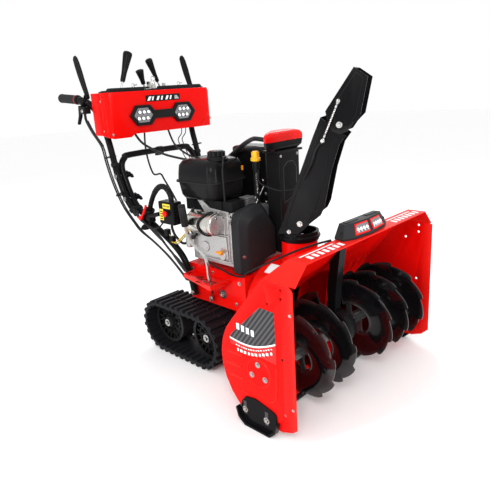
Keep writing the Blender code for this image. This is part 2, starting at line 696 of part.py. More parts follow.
def make_engine_parts():
    """Recoil starter, fuel tank, muffler guard and electric starter round the engine."""
    turned = [(0, 0.6654), (0.088, 0.6654), (0.088, 0.700), (0.074, 0.715), (0.062, 0.715), (0.056, 0.738), (0, 0.738)]
    starter = lathe_mesh("recoil_starter", turned, "y", 28)
    place("recoil_starter", starter, "black_plastic", (-0.020, 0, 0.4820))
    tank = place("fuel_tank", box_mesh("fuel_tank", (-0.172, 0.505, 0.572), (0.012, 0.695, 0.730)), "black_plastic")
    bevel(tank, 0.022, 2)
    combine(tank, box_mesh("saddle", (-0.140, 0.530, 0.5608), (-0.005, 0.660, 0.590)), "UNION")
    guard = place("muffler_guard", box_mesh("muffler_guard", (0.058, 0.460, 0.4805), (0.165, 0.655, 0.762)),
                  "black_paint")
    bevel(guard, 0.012, 1)
    motor = [(0, 0.4850), (0.034, 0.4850), (0.037, 0.492), (0.037, 0.610), (0.030, 0.622), (0, 0.622)]
    place("starter_motor", lathe_mesh("starter_motor", motor, "y", 24), "cast_aluminium", (-0.190, 0, 0.530))


def make_caps(cap_pivot, stick_pivot, button_pivot):
    """The fuel cap, dipstick and engine switch."""
    cap = lathe_mesh("fuel_cap", [(0, 0.0004), (0.030, 0.0004), (0.030, 0.024), (0.024, 0.030), (0, 0.030)], "z", 16)
    place("fuel_cap", cap, "black_plastic", (0, 0, 0), cap_pivot)
    tube("dipstick_tube", "black_plastic", [(-0.006, 0.464, 0.5604), (-0.006, 0.464, 0.720)], 0.010, 2)
    stick = lathe_mesh("dipstick", [(0, 0.0004), (0.012, 0.0004), (0.017, 0.010), (0.015, 0.034), (0, 0.036)], "z", 16)
    place("dipstick", stick, "yellow_plastic", (0, 0, 0), stick_pivot)
    box = box_mesh("switch_box", (-0.2160, 0.684, 0.506), (-0.1725, 0.770, 0.590))
    place("switch_box", box, "black_plastic")
    button = lathe_mesh("stop_button", [(0, -0.0036), (0.009, -0.0036), (0.011, -0.012), (0, -0.014)], "x", 14)
    place("stop_button", button, "red_plastic", (0, 0, 0), button_pivot)


def make_belt_cover():
    """The moulded cover over the drive belts, in front of the engine."""
    outline = [(-0.160, 0.3575), (-0.160, 0.540), (-0.140, 0.573), (-0.050, 0.585), (-0.018, 0.555), (0.014, 0.501),
               (0.014, 0.3575)]
    cover = place("belt_cover", prism_mesh("belt_cover", outline, "y", 0.3960, 0.4516), "grey_plastic")
    round_cut = lathe_mesh("round_cut", [(0, 0.39), (0.185, 0.39), (0.185, 0.46), (0, 0.46)], "y", 40)
    combine(cover, round_cut, "DIFFERENCE", (0, 0, DRUM_Z))
    return cover


def make_column():
    """The upright chute-drive housing with its head and red cap."""
    post = place("drive_column", box_mesh("drive_column", (0.018, 0.3750, 0.3950), (0.118, 0.4380, 0.7560)),
                 "black_plastic")
    combine(post, box_mesh("foot", (0.030, 0.3975, 0.3565), (0.108, 0.4370, 0.4100)), "UNION")
    head = [(-0.046, 0.3720), (0.150, 0.3720), (0.150, 0.4450), (-0.020, 0.4450)]
    combine(post, prism_mesh("column_head", head, "z", 0.7540, 0.7870), "UNION")
    cap = place("column_cap", prism_mesh("column_cap", head, "z", 0.7874, 0.8240), "red_plastic")
    bevel(cap, 0.010, 1)


# ---------------------------------------------------------------- handlebars and dash

def make_handlebar(side, name):
    """One side's upper handle tube, from beside the frame up behind the dash and out to its grip."""
    line = [(HANDLE_TUBE_X, 0.915, 0.5220), (HANDLE_TUBE_X, 0.955, 0.5560), (HANDLE_TUBE_X, 0.985, 0.6000),
            (HANDLE_TUBE_X, 1.003, 0.6400), (HANDLE_TUBE_X, 1.020, 0.6800), (HANDLE_TUBE_X, 1.034, 0.7400),
            (HANDLE_TUBE_X, 1.050, 0.8000), (0.2200, 1.060, 0.8500), (0.2330, 1.064, 0.9000), (0.2620, 1.069, 0.9420),
            (0.2830, 1.088, 0.9560), (0.2850, 1.098, 0.9597), (0.2850, 1.108, 0.9605)]
    route = [(side * x, y, z) for x, y, z in line]
    return tube(name, "black_paint", smooth_path(route, 2), TUBE_R, 2)


def make_grip(side, name):
    """The rubber sleeve on a handlebar's end."""
    start = Vector((side * 0.285, 1.1092, 0.9606))
    stop = Vector((side * 0.285, 1.236, 0.9700))
    return place(name, rod_mesh(name, start, stop, 0.017, 16), "rubber", start)


def make_handle_frame():
    """The U-shaped lower handle tube: up from one chassis bolt, across behind the engine and down to the other."""
    half = [(0.1745, 0.652, 0.235), (0.1745, 0.660, 0.275), (0.1755, 0.675, 0.322), (0.1765, 0.697, 0.370),
            (0.1780, 0.738, 0.410), (0.1810, 0.800, 0.450), (0.1850, 0.858, 0.484), (FRAME_TUBE_X, 0.915, 0.522),
            (FRAME_TUBE_X, 0.955, 0.556), (FRAME_TUBE_X, 0.985, 0.600), (FRAME_TUBE_X, 1.003, 0.640),
            (FRAME_TUBE_X, 1.019, 0.680), (0.1830, 1.026, 0.708), (0.1650, 1.030, 0.728), (0.1330, 1.031, 0.738)]
    route = [(-x, y, z) for x, y, z in half] + half[::-1]
    return tube("handle_frame", "black_paint", smooth_path(route, 2), TUBE_R, 2)


def dash_outline(grow=0.0):
    """The dash panel's (x, y) outline: a shallow shell round the handlebars, open at the back."""
    half = DASH_HALF + grow
    front = 0.958 - grow
    return [(-half, 1.040), (-half, 0.988), (-half + 0.030, front + 0.006), (-0.180, front), (0.180, front),
            (half - 0.030, front + 0.006), (half, 0.988), (half, 1.040)]


def make_dash():
    """The red fascia and the black deck plate behind it."""
    shell = place("dash_panel", prism_mesh("dash_panel", dash_outline(), "z", DASH_BOTTOM, DASH_TOP), "red_paint")
    inner = [(x * (1 - 0.012), y + 0.0030 if y < 1.03 else y + 0.02) for x, y in dash_outline()]
    combine(shell, prism_mesh("inside", inner, "z", DASH_BOTTOM - 0.02, DASH_TOP + 0.02), "DIFFERENCE")
    step = box_mesh("step", (-0.155, 0.90, DASH_BOTTOM - 0.01), (0.30, 1.10, DASH_BOTTOM + 0.016))
    combine(shell, step, "DIFFERENCE")
    deck = [(-0.228, 0.9705), (0.228, 0.9705), (0.228, 1.056), (-0.228, 1.056)]
    place("dash_deck", prism_mesh("dash_deck", deck, "z", 0.9730, 0.9850), "black_plastic")
    bezel = [(-0.150, 0.900), (-0.122, 0.935), (-0.066, 0.935), (-0.040, 0.914), (0.040, 0.914), (0.066, 0.935),
             (0.122, 0.935), (0.150, 0.900), (0.122, 0.862), (0.066, 0.862), (0.040, 0.886), (-0.040, 0.886),
             (-0.066, 0.862), (-0.122, 0.862)]
    plate = place("headlight_bezel", prism_mesh("headlight_bezel", bezel, "y", 0.9446, 0.9576), "grey_plastic")
    lens = place("headlight_lens", prism_mesh("headlight_lens", [(-0.094, 0.8945), (0.094, 0.8945), (0.094, 0.9035),
                                                                 (-0.094, 0.9035)], "y", 0.9505, 0.9550), "lamp_lens")
    slot = prism_mesh("slot", [(-0.10, 0.8941), (0.10, 0.8941), (0.10, 0.9039), (-0.10, 0.9039)], "y", 0.9501, 0.970)
    combine(plate, slot, "DIFFERENCE")
    for side in (-1, 1):
        window = [(side * 0.094 + x, 0.8985 + z * 0.72) for x, z in around(0.037, 6)]
        hole = [(side * 0.094 + x, 0.8985 + z * 0.72) for x, z in around(0.0376, 6)]
        combine(plate, prism_mesh("hole", hole, "y", 0.94, 0.9554), "DIFFERENCE")
        combine(lens, prism_mesh("window", window, "y", 0.9470, 0.9550), "UNION")


def make_clutch_lever(name, parent):
    """A flat clutch lever that stands up from the dash's end."""
    outline = [(-0.010, -0.004), (0.012, -0.004), (0.040, 0.070), (0.064, 0.142), (0.059, 0.153), (0.047, 0.149),
               (0.014, 0.078)]
    data = prism_mesh(name, outline, "x", -0.0030, 0.0030)
    return place(name, data, "black_plastic", (0, 0, 0), parent)


def make_trigger(name, parent):
    """The steering trigger below a grip."""
    outline = [(-0.010, 0.006), (0.010, 0.006), (0.016, -0.030), (0.034, -0.062), (0.026, -0.066), (0.004, -0.036)]
    return place(name, prism_mesh(name, outline, "x", -0.006, 0.006), "black_plastic", (0, 0, 0), parent)


def make_stick(name, base, tip, radius, parent):
    """A control stick: thin stem and thick grip, in one piece."""
    way = Vector(tip) - Vector(base)
    length = way.length
    profile = [(0, 0.0), (0.004, 0.0), (0.004, length * 0.24), (radius * 0.75, length * 0.27),
               (radius * 1.1, length * 0.80), (radius * 0.95, length * 0.97), (0, length)]
    data = lathe_mesh(name, profile, "z", 14)
    data.transform(Vector((0, 0, 1)).rotation_difference(way).to_matrix().to_4x4())
    return place(name, data, "black_plastic", (0, 0, 0), parent)


def make_loop_handle(parent):
    """The ribbed loop grip beside the handlebar and its red release."""
    route = [(-0.2060, 0.838, 0.5480), (-0.206, 0.822, 0.580), (-0.206, 0.796, 0.616), (-0.206, 0.764, 0.640),
             (-0.206, 0.730, 0.642), (-0.206, 0.706, 0.622), (-0.206, 0.7005, 0.603), (-0.206, 0.7005, 0.5912)]
    tube("loop_handle", "black_plastic", smooth_path(route, 2), 0.0095, 2)
    bar = rod_mesh("release_lever", (0, 0, 0), (0, -0.046, 0.054), 0.0045, 10)
    place("release_lever", bar, "red_plastic", (0, 0, 0), parent)


# ---------------------------------------------------------------- assembly

def main():
    """Make every sub-part."""
    clear_scene()
    machine = pivot("machine", (0, FRONT_Y, 0))

    make_housing_shell()
    make_housing_side(-1, "housing_side_right")
    make_housing_side(1, "housing_side_left")
    make_scraper()
    make_skid_shoe(-1, "skid_shoe_right")
    make_skid_shoe(1, "skid_shoe_left")

    make_auger_shaft(machine)
    make_auger(-1, "auger_right", machine)
    make_auger(1, "auger_left", machine)
    make_gearbox()

    make_drum()
    make_impeller(machine)

    chute_pivot = pivot("chute_pivot", (0, CHUTE_Y, 0), machine)
    for maker in (make_chute_ring, make_chute):
        maker(chute_pivot).location = (0, 0, 0)
    hinge_at = Vector(chute_point(HINGE_S, 0, HINGE_Z)) - Vector((0, CHUTE_Y, 0))
    hinge_pivot = pivot("deflector_pivot", hinge_at, chute_pivot)
    make_deflector(hinge_pivot)

    make_work_light()
    make_chassis()
    for side, where in ((-1, "right"), (1, "left")):
        make_track(side, "track_belt_" + where)
        front = pivot("front_wheel_pivot_" + where, (0, FRONT_AXLE, AXLE_Z), machine)
        rear = pivot("rear_wheel_pivot_" + where, (0, REAR_AXLE, AXLE_Z), machine)
        make_wheel(side, "idler_wheel_" + where, front)
        make_wheel(side, "drive_wheel_" + where, rear)
        make_handlebar(side, "handlebar_" + where)
        make_grip(side, "grip_" + where)
        make_clutch_lever("clutch_lever_" + where, pivot("clutch_pivot_" + where, (side * 0.2605, 1.080, 0.969), machine))
        make_trigger("steering_trigger_" + where, pivot("trigger_pivot_" + where, (side * 0.285, 1.100, 0.9330), machine))
    make_axle(FRONT_AXLE, "front_axle")
    make_axle(REAR_AXLE, "rear_axle")
    make_tilt_lever(pivot("tilt_pivot", TILT_PIN, machine))

    make_engine()
    make_engine_parts()
    make_caps(pivot("cap_pivot", (-0.100, 0.560, 0.7300), machine),
              pivot("stick_pivot", (-0.006, 0.464, 0.7204), machine),
              pivot("button_pivot", (-0.2164, 0.722, 0.548), machine))
    make_belt_cover()
    make_column()

    make_handle_frame()
    make_dash()
    joystick = pivot("joystick_pivot", (-0.142, 1.030, 0.9900), machine)
    make_stick("chute_joystick", (-0.142, 1.030, 0.990), (-0.088, 1.032, 1.128), 0.0135, joystick)
    speed = pivot("speed_pivot", (0.046, 1.030, 0.9900), machine)
    make_stick("speed_lever", (0.046, 1.030, 0.990), (0.002, 1.032, 1.102), 0.0120, speed)
    knob = pivot("knob_pivot", (-0.030, 1.030, 0.9900), machine)
    make_stick("deflector_lever", (-0.030, 1.030, 0.990), (-0.048, 1.030, 1.062), 0.012, knob)
    make_loop_handle(pivot("release_pivot", (-0.2320, 0.870, 0.516), machine))


main()
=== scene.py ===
"""The looks of the tracked two-stage snowblower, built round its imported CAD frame."""
import json
import math

import bmesh
import bpy
from mathutils import Matrix, Vector


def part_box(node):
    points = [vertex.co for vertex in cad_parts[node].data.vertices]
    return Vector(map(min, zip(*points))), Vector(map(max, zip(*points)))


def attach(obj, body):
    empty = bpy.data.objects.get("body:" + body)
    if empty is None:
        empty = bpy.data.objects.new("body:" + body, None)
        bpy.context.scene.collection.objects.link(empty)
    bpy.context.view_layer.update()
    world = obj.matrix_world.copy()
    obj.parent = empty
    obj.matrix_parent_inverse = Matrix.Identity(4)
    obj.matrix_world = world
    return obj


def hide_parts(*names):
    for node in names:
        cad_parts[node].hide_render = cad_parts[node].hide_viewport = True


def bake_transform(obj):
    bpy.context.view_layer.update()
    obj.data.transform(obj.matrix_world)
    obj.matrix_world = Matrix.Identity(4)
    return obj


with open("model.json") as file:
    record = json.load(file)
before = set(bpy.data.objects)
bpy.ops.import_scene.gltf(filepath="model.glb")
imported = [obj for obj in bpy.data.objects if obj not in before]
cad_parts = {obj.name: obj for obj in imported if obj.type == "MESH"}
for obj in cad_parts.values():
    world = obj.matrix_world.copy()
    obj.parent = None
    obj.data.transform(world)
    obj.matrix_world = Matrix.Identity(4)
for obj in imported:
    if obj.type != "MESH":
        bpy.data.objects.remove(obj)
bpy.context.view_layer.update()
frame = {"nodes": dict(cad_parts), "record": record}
NODES = frame["nodes"]
FRONT_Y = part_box("auger_housing_shell")[0].y      # world Y of the housing's front edge
SHIFT = Matrix.Translation((0, FRONT_Y, 0))
SIDES = ((-1, "right"), (1, "left"))
AUGER_Y, AUGER_Z = 0.128, 0.188                   # the auger shaft's axis
DRUM_Z, DRUM_OUTER = 0.213, 0.1783                # the impeller drum's axis, and its label's radius
AXLE_Z, IDLER_Y, DRIVE_Y = 0.105, 0.550, 0.775    # the track axles
BELT_R, BELT_STEPS, LUGS = 0.094, 136, 34         # the track's pitch radius, its sections and its tread bars
LAMP_Z = 0.8890                                   # the headlights' middle


def at(x, y, z):
    """A machine point, its y measured back from the housing's front edge, in the frame's coordinates."""
    return Vector((x, y + FRONT_Y, z))


# ---------------------------------------------------------------- materials

def shader_node(tree, kind, **settings):
    """A shader node with inputs or attributes set by name."""
    made = tree.nodes.new(kind)
    for key, value in settings.items():
        if key in made.inputs:
            made.inputs[key].default_value = value
        else:
            setattr(made, key, value)
    return made


def blend_colour(tree, factor, first, second):
    """Mix two colours, each an output or three numbers, by a factor output."""
    mix = shader_node(tree, "ShaderNodeMix", data_type="RGBA")
    tree.links.new(factor, mix.inputs[0])
    for slot, value in ((6, first), (7, second)):
        if isinstance(value, tuple):
            mix.inputs[slot].default_value = (*value, 1)
        else:
            tree.links.new(value, mix.inputs[slot])
    return mix.outputs[2]


def ramp(tree, value, low, high, to_low=0.0, to_high=1.0):
    """Map an output between two limits onto another range."""
    mapped = shader_node(tree, "ShaderNodeMapRange")
    for key, number in (("From Min", low), ("From Max", high), ("To Min", to_low), ("To Max", to_high)):
        mapped.inputs[key].default_value = number
    tree.links.new(value, mapped.inputs["Value"])
    return mapped.outputs["Result"]


def surface(name, colour, other, patches=6.0, rough=0.35, spread=0.08, metallic=0.0, coat=0.0, grain=0.0,
            grain_scale=900.0, stretch=(1, 1, 1), specks=None, speck_scale=260.0, edge_wear_and_highlight=None, specular=0.5,
            stripes=None, stripe_scale=120.0, glow=0.0):
    """A procedural finish: two blended tones, uneven gloss, a fine grain, sparse specks, stripes, and lighter sharp
    edges, which on paint and plastic are a painted edge highlight and on the track rubber only a lighter rim.
    """
    material = bpy.data.materials.new(name)
    material.use_nodes = True
    tree = material.node_tree
    links = tree.links
    shader = tree.nodes["Principled BSDF"]
    for key, value in (("Metallic", metallic), ("Coat Weight", coat), ("Coat Roughness", 0.08),
                       ("Specular IOR Level", specular)):
        shader.inputs[key].default_value = value
    where = shader_node(tree, "ShaderNodeTexCoord").outputs["Object"]
    mapping = shader_node(tree, "ShaderNodeMapping", Scale=stretch)
    links.new(where, mapping.inputs["Vector"])
    broad = shader_node(tree, "ShaderNodeTexNoise", Scale=patches, Detail=5.0, Roughness=0.6)
    links.new(mapping.outputs["Vector"], broad.inputs["Vector"])
    fine = shader_node(tree, "ShaderNodeTexNoise", Scale=grain_scale, Detail=2.0)
    links.new(mapping.outputs["Vector"], fine.inputs["Vector"])
    result = blend_colour(tree, broad.outputs["Fac"], colour, other)
    if stripes:
        turned = shader_node(tree, "ShaderNodeMapping")
        turned.inputs["Rotation"].default_value = (math.radians(52), 0, 0)
        links.new(where, turned.inputs["Vector"])
        bands = shader_node(tree, "ShaderNodeTexWave", Scale=stripe_scale, Distortion=0.0)
        bands.bands_direction = "Z"
        links.new(turned.outputs["Vector"], bands.inputs["Vector"])
        result = blend_colour(tree, ramp(tree, bands.outputs["Fac"], 0.45, 0.65), result, stripes)
    if specks:
        spots = shader_node(tree, "ShaderNodeTexNoise", Scale=speck_scale, Detail=3.0)
        links.new(where, spots.inputs["Vector"])
        result = blend_colour(tree, ramp(tree, spots.outputs["Fac"], 0.64, 0.70), result, specks)
    # Painted edge highlight: sharp edges, picked by pointiness and broken up by the broad noise, take a lighter colour;
    # on the red, black and gloss finishes this stands in for light catching the edges, on the track rubber it only
    # lightens the rims.
    if edge_wear_and_highlight:
        edge = shader_node(tree, "ShaderNodeNewGeometry").outputs["Pointiness"]
        edge_wear_and_highlight_mask = shader_node(tree, "ShaderNodeMath", operation="MULTIPLY")
        links.new(ramp(tree, edge, 0.53, 0.60), edge_wear_and_highlight_mask.inputs[0])
        links.new(broad.outputs["Fac"], edge_wear_and_highlight_mask.inputs[1])
        result = blend_colour(tree, edge_wear_and_highlight_mask.outputs[0], result, edge_wear_and_highlight)
    links.new(result, shader.inputs["Base Color"])
    if glow:
        links.new(result, shader.inputs["Emission Color"])
        shader.inputs["Emission Strength"].default_value = glow
    links.new(ramp(tree, broad.outputs["Fac"], 0.3, 0.7, max(0.02, rough - spread), rough + spread),
              shader.inputs["Roughness"])
    if grain:
        bump = shader_node(tree, "ShaderNodeBump", Strength=grain, Distance=0.0006)
        links.new(fine.outputs["Fac"], bump.inputs["Height"])
        links.new(bump.outputs["Normal"], shader.inputs["Normal"])
    return material


# The lighter red given to its sharp edges is a painted edge highlight.
RED = surface("red_paint", (0.70, 0.0030, 0.0020), (0.77, 0.0045, 0.0030), rough=0.17, spread=0.05, grain=0.04,
              grain_scale=260, edge_wear_and_highlight=(0.80, 0.03, 0.02), specular=0.07)
DEEP_RED = surface("red_label", (0.52, 0.004, 0.003), (0.58, 0.006, 0.004), rough=0.30, grain=0.03, specular=0.3)
# The pale grey given to its sharp edges is a painted edge highlight.
BLACK = surface("black_paint", (0.0035, 0.0035, 0.004), (0.007, 0.007, 0.008), rough=0.13, spread=0.05,
                grain=0.10, grain_scale=300, edge_wear_and_highlight=(0.03, 0.03, 0.03), specular=0.06)
# The pale grey given to the flights' sharp edges is a painted edge highlight, standing in for the bright edge glints.
FLIGHT = surface("auger_black_paint", (0.0030, 0.0030, 0.0035), (0.006, 0.006, 0.007), rough=0.11, spread=0.05,
                 coat=0.25,
                 grain=0.03, grain_scale=240, edge_wear_and_highlight=(0.05, 0.05, 0.05), specular=0.45)
# The pale grey given to its sharp edges is a painted edge highlight.
GLOSS = surface("black_gloss_plastic", (0.0035, 0.0035, 0.004), (0.006, 0.006, 0.007), rough=0.20, spread=0.07,
                grain=0.06, grain_scale=420, edge_wear_and_highlight=(0.03, 0.03, 0.03), specular=0.07)
SATIN = surface("black_satin_plastic", (0.006, 0.006, 0.0065), (0.011, 0.011, 0.012), rough=0.42, grain=0.22,
                grain_scale=1300, specular=0.10)
COVER = surface("grey_grained_plastic", (0.014, 0.015, 0.016), (0.020, 0.021, 0.023), rough=0.45, grain=0.30,
                grain_scale=1500, specular=0.12)
RUBBER = surface("track_rubber", (0.005, 0.0055, 0.007), (0.010, 0.011, 0.013), patches=14, rough=0.50, spread=0.12,
                 grain=0.45, grain_scale=520, specks=(0.018, 0.019, 0.021), speck_scale=170, edge_wear_and_highlight=(0.014, 0.014, 0.016),
                 specular=0.08)
GRIP = surface("grip_rubber", (0.012, 0.012, 0.013), (0.020, 0.020, 0.022), rough=0.66, grain=0.35, specular=0.18)
HOSE = surface("hose_rubber", (0.005, 0.005, 0.0055), (0.010, 0.010, 0.011), rough=0.36, grain=0.2, specular=0.22)
CAST = surface("cast_aluminium", (0.40, 0.40, 0.40), (0.58, 0.58, 0.57), patches=11, rough=0.40, spread=0.10,
               metallic=0.8, grain=0.7, grain_scale=600, specks=(0.20, 0.20, 0.20), speck_scale=120)
NICKEL = surface("nickel_shell", (0.52, 0.51, 0.47), (0.66, 0.65, 0.60), patches=8, rough=0.24, metallic=1.0,
                 stretch=(1, 6, 1), grain=0.10)
ZINC = surface("zinc_plate", (0.36, 0.36, 0.35), (0.58, 0.58, 0.56), patches=60, rough=0.28, spread=0.10,
               metallic=1.0, grain=0.15)
DULL = surface("dark_steel", (0.05, 0.055, 0.06), (0.10, 0.10, 0.11), patches=50, rough=0.38, metallic=0.8, grain=0.2)
YELLOW = surface("yellow_plastic", (0.90, 0.42, 0.01), (0.97, 0.52, 0.02), rough=0.30, grain=0.06, specular=0.3)
ORANGE = surface("orange_plug", (0.92, 0.28, 0.004), (0.97, 0.36, 0.01), rough=0.35, grain=0.06, specular=0.3)
SCARLET = surface("red_plastic", (0.74, 0.005, 0.004), (0.82, 0.010, 0.007), rough=0.26, grain=0.08, specular=0.15)
WHITE = surface("white_print", (0.86, 0.86, 0.86), (0.92, 0.92, 0.92), patches=30, rough=0.45, grain=0.04)
STRIPED = surface("striped_print", (0.016, 0.016, 0.018), (0.026, 0.026, 0.028), rough=0.32, grain=0.05,
                  stripes=(0.085, 0.085, 0.09), stripe_scale=26, specular=0.2)
LABEL_YELLOW = surface("yellow_print", (0.86, 0.62, 0.02), (0.92, 0.70, 0.04), patches=40, rough=0.4, grain=0.04)
GREEN = surface("green_wire", (0.02, 0.28, 0.05), (0.04, 0.36, 0.08), rough=0.4, grain=0.1)
LED = surface("led_dome", (0.88, 0.89, 0.90), (0.96, 0.96, 0.96), patches=200, rough=0.12, grain=0.05, glow=0.45)
BOWL = surface("lamp_bowl", (0.20, 0.20, 0.21), (0.34, 0.34, 0.35), patches=120, rough=0.26, metallic=0.9, grain=0.08)
LENS = surface("lamp_lens", (0.42, 0.44, 0.46), (0.62, 0.64, 0.66), patches=90, rough=0.10, coat=0.6, grain=0.10,
               grain_scale=300)

SLOT_FINISH = {
    "red_paint": RED, "black_paint": BLACK, "heat_guard": BLACK, "black_plastic": GLOSS, "grey_plastic": COVER,
    "lens": LENS, "rubber": GRIP, "track_rubber": RUBBER, "zinc": ZINC, "cast_aluminium": CAST,
    "yellow_plastic": YELLOW, "red_plastic": SCARLET,
}
SLOT_OF = {entry["node"]: entry["material_slot"] for entry in frame["record"]["subparts"]}
BODY_OF = {name: body for body, names in frame["record"]["behaviour"]["bodies"].items() for name in names}


# ---------------------------------------------------------------- shapes, all in machine coordinates

def add_box(bm, low, high):
    """A box between two opposite corners, given in any order."""
    size = [abs(high[i] - low[i]) for i in range(3)]
    middle = [(high[i] + low[i]) / 2 for i in range(3)]
    bmesh.ops.create_cube(bm, size=1.0, matrix=Matrix.Translation(middle) @ Matrix.Diagonal((*size, 1)))


def add_loft(bm, loops):
    """Join loops with equal point counts into a closed body."""
    rings = [[bm.verts.new(p) for p in loop] for loop in loops]
    for lower, upper in zip(rings, rings[1:]):
        for i in range(len(lower)):
            j = (i + 1) % len(lower)
            bm.faces.new((lower[i], lower[j], upper[j], upper[i]))
    bm.faces.new(rings[0])
    bm.faces.new(rings[-1])


def add_prism(bm, outline, axis, start, stop):
    """An outline of two coordinates, extruded along axis x, y or z."""
    def point(a, b, along):
        """The outline's two coordinates and the place along the axis, in x, y, z order."""
        return {"x": (along, a, b), "y": (a, along, b), "z": (a, b, along)}[axis]

    add_loft(bm, [[point(a, b, along) for a, b in outline] for along in (start, stop)])


def facing(direction):
    """The turn that takes +Z to a direction."""
    return Vector((0, 0, 1)).rotation_difference(Vector(direction)).to_matrix().to_4x4()


def add_lathe(bm, profile, middle, direction, steps=24, closed=False):
    """Turn (radius, along) points about a direction through a point."""
    place = Matrix.Translation(middle) @ facing(direction)
    rings = []
    for radius, along in profile:
        count = 1 if radius < 1e-7 else steps
        rings.append([bm.verts.new(place @ Vector((radius * math.cos(2 * math.pi * i / steps),
                                                   radius * math.sin(2 * math.pi * i / steps), along)))
                      for i in range(count)])
    pairs = list(zip(rings, rings[1:])) + ([(rings[-1], rings[0])] if closed else [])
    for lower, upper in pairs:
        for i in range(steps):
            j = (i + 1) % steps
            corners = [lower[i % len(lower)], lower[j % len(lower)], upper[j % len(upper)], upper[i % len(upper)]]
            bm.faces.new(list(dict.fromkeys(corners)))


def add_rod(bm, start, stop, radius, steps=14):
    """A round bar between two points, its ends slightly rounded."""
    way = Vector(stop) - Vector(start)
    soft = min(radius * 0.25, way.length * 0.2)
    profile = [(0, 0), (radius - soft, 0), (radius, soft), (radius, way.length - soft), (radius - soft, way.length),
               (0, way.length)]
    add_lathe(bm, profile, Vector(start), way, steps)


def smooth_path(route, per_span=6):
    """Points on a Catmull-Rom curve through the route's own points."""
    knots = [Vector(p) for p in route]
    ends = [2 * knots[0] - knots[1]] + knots + [2 * knots[-1] - knots[-2]]
    path = []
    for i in range(1, len(ends) - 2):
        a, b, c, d = ends[i - 1:i + 3]
        for k in range(per_span):
            t = k / per_span
            path.append(0.5 * (2 * b + (c - a) * t + (2 * a - 5 * b + 4 * c - d) * t * t
                               + (3 * b - a - 3 * c + d) * t ** 3))
    path.append(knots[-1])
    return path


def add_tube(bm, points, radius, steps=10, ridge=0.0):
    """A tube along points; ridge swells every other ring, as on a corrugated sleeve."""
    turn = None
    rings = []
    for i, point in enumerate(points):
        way = (points[min(i + 1, len(points) - 1)] - points[max(i - 1, 0)]).normalized()
        if turn is None:
            turn = way.orthogonal().normalized()
        turn = (turn - way * turn.dot(way)).normalized()
        side = way.cross(turn)
        size = radius + (ridge if i % 2 else 0.0)
        rings.append([bm.verts.new(point + size * (math.cos(2 * math.pi * k / steps) * turn
                                                   + math.sin(2 * math.pi * k / steps) * side))
                      for k in range(steps)])
    for lower, upper in zip(rings, rings[1:]):
        for k in range(steps):
            bm.faces.new((lower[k], lower[(k + 1) % steps], upper[(k + 1) % steps], upper[k]))
    bm.faces.new(rings[0])
    bm.faces.new(rings[-1])


def add_bolt(bm, middle, normal, size=0.006, washer=1.7):
    """A hex bolt head on its washer, standing on a surface."""
    add_lathe(bm, [(0, -0.001), (size * washer, -0.001), (size * washer, size * 0.2), (0, size * 0.2)],
              middle, normal, 20)
    add_lathe(bm, [(0, 0), (size, 0), (size, size * 0.62), (size * 0.82, size * 0.85), (0, size * 0.85)],
              middle, normal, 6)


def piece(name, bm, finish, body="machine", smooth=38, bevel=0.0, segments=2, stands_for=(), slot=None):
    """Make a mesh piece from machine coordinates and let it ride on a body."""
    bmesh.ops.recalc_face_normals(bm, faces=bm.faces[:])
    for face in bm.faces:
        face.smooth = True
    for edge in bm.edges:
        edge.smooth = edge.calc_face_angle(0) < math.radians(smooth)
    data = bpy.data.meshes.new(name)
    bm.to_mesh(data)
    bm.free()
    data.transform(SHIFT)
    data.materials.append(finish)
    thing = bpy.data.objects.new(name, data)
    bpy.context.scene.collection.objects.link(thing)
    if bevel:
        edges = thing.modifiers.new("edges", "BEVEL")
        edges.width = bevel
        edges.segments = segments
        edges.angle_limit = math.radians(smooth)
    if stands_for:
        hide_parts(*stands_for)
    if body:
        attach(thing, body)
    return thing


def from_node(node):
    """A welded copy of a CAD node's mesh, in machine coordinates."""
    bm = bmesh.new()
    bm.from_mesh(NODES[node].data)
    bmesh.ops.remove_doubles(bm, verts=bm.verts[:], dist=1e-5)
    bmesh.ops.transform(bm, matrix=SHIFT.inverted(), verts=bm.verts[:])
    bmesh.ops.dissolve_limit(bm, angle_limit=math.radians(0.5), verts=bm.verts[:], edges=bm.edges[:])
    return bm


def dress(node, bevel=0.0012, segments=2, finish=None, smooth=38):
    """Show a CAD node with softened edges and its finish."""
    finish = finish or SLOT_FINISH[SLOT_OF[node]]
    return piece(node + "_skin", from_node(node), finish, BODY_OF[node], smooth, bevel, segments, (node,),
                 SLOT_OF[node])


def cut(thing, bm):
    """Subtract a shape from a piece, before it rides anywhere."""
    data = bpy.data.meshes.new("cutter")
    bmesh.ops.recalc_face_normals(bm, faces=bm.faces[:])
    bm.to_mesh(data)
    bm.free()
    data.transform(SHIFT)
    tool = bpy.data.objects.new("cutter", data)
    bpy.context.scene.collection.objects.link(tool)
    boolean = thing.modifiers.new("cut", "BOOLEAN")
    boolean.solver = "EXACT"
    boolean.object = tool
    bpy.context.view_layer.update()
    result = bpy.data.meshes.new_from_object(thing.evaluated_get(bpy.context.evaluated_depsgraph_get()))
    thing.modifiers.clear()
    thing.data = result
    bpy.data.objects.remove(tool)


def settle(thing, node, width=0.0, segments=2, angle=30, smooth=False):
    """Soften a cut piece's edges and let it stand for a node of the machine."""
    if width:
        edges = thing.modifiers.new("edges", "BEVEL")
        edges.width = width
        edges.segments = segments
        edges.angle_limit = math.radians(angle)
    if smooth:
        for polygon in thing.data.polygons:
            polygon.use_smooth = True
    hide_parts(node)
    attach(thing, "machine")


# ---------------------------------------------------------------- auger housing

def housing_line(grow, top, arc_points=24):
    """The (y, z) line of the housing sheet, from the front of its top to its lower edge."""
    line = [(0.0, top + grow), (0.590 - top + grow * 0.4, top + grow)]
    for i in range(arc_points + 1):
        angle = math.radians(45 - 107 * i / arc_points)
        line.append((0.100 + (0.192 + grow) * math.cos(angle), 0.195 + (0.192 + grow) * math.sin(angle)))
    line.append((0.150, line[-1][1] - 0.001))
    return line


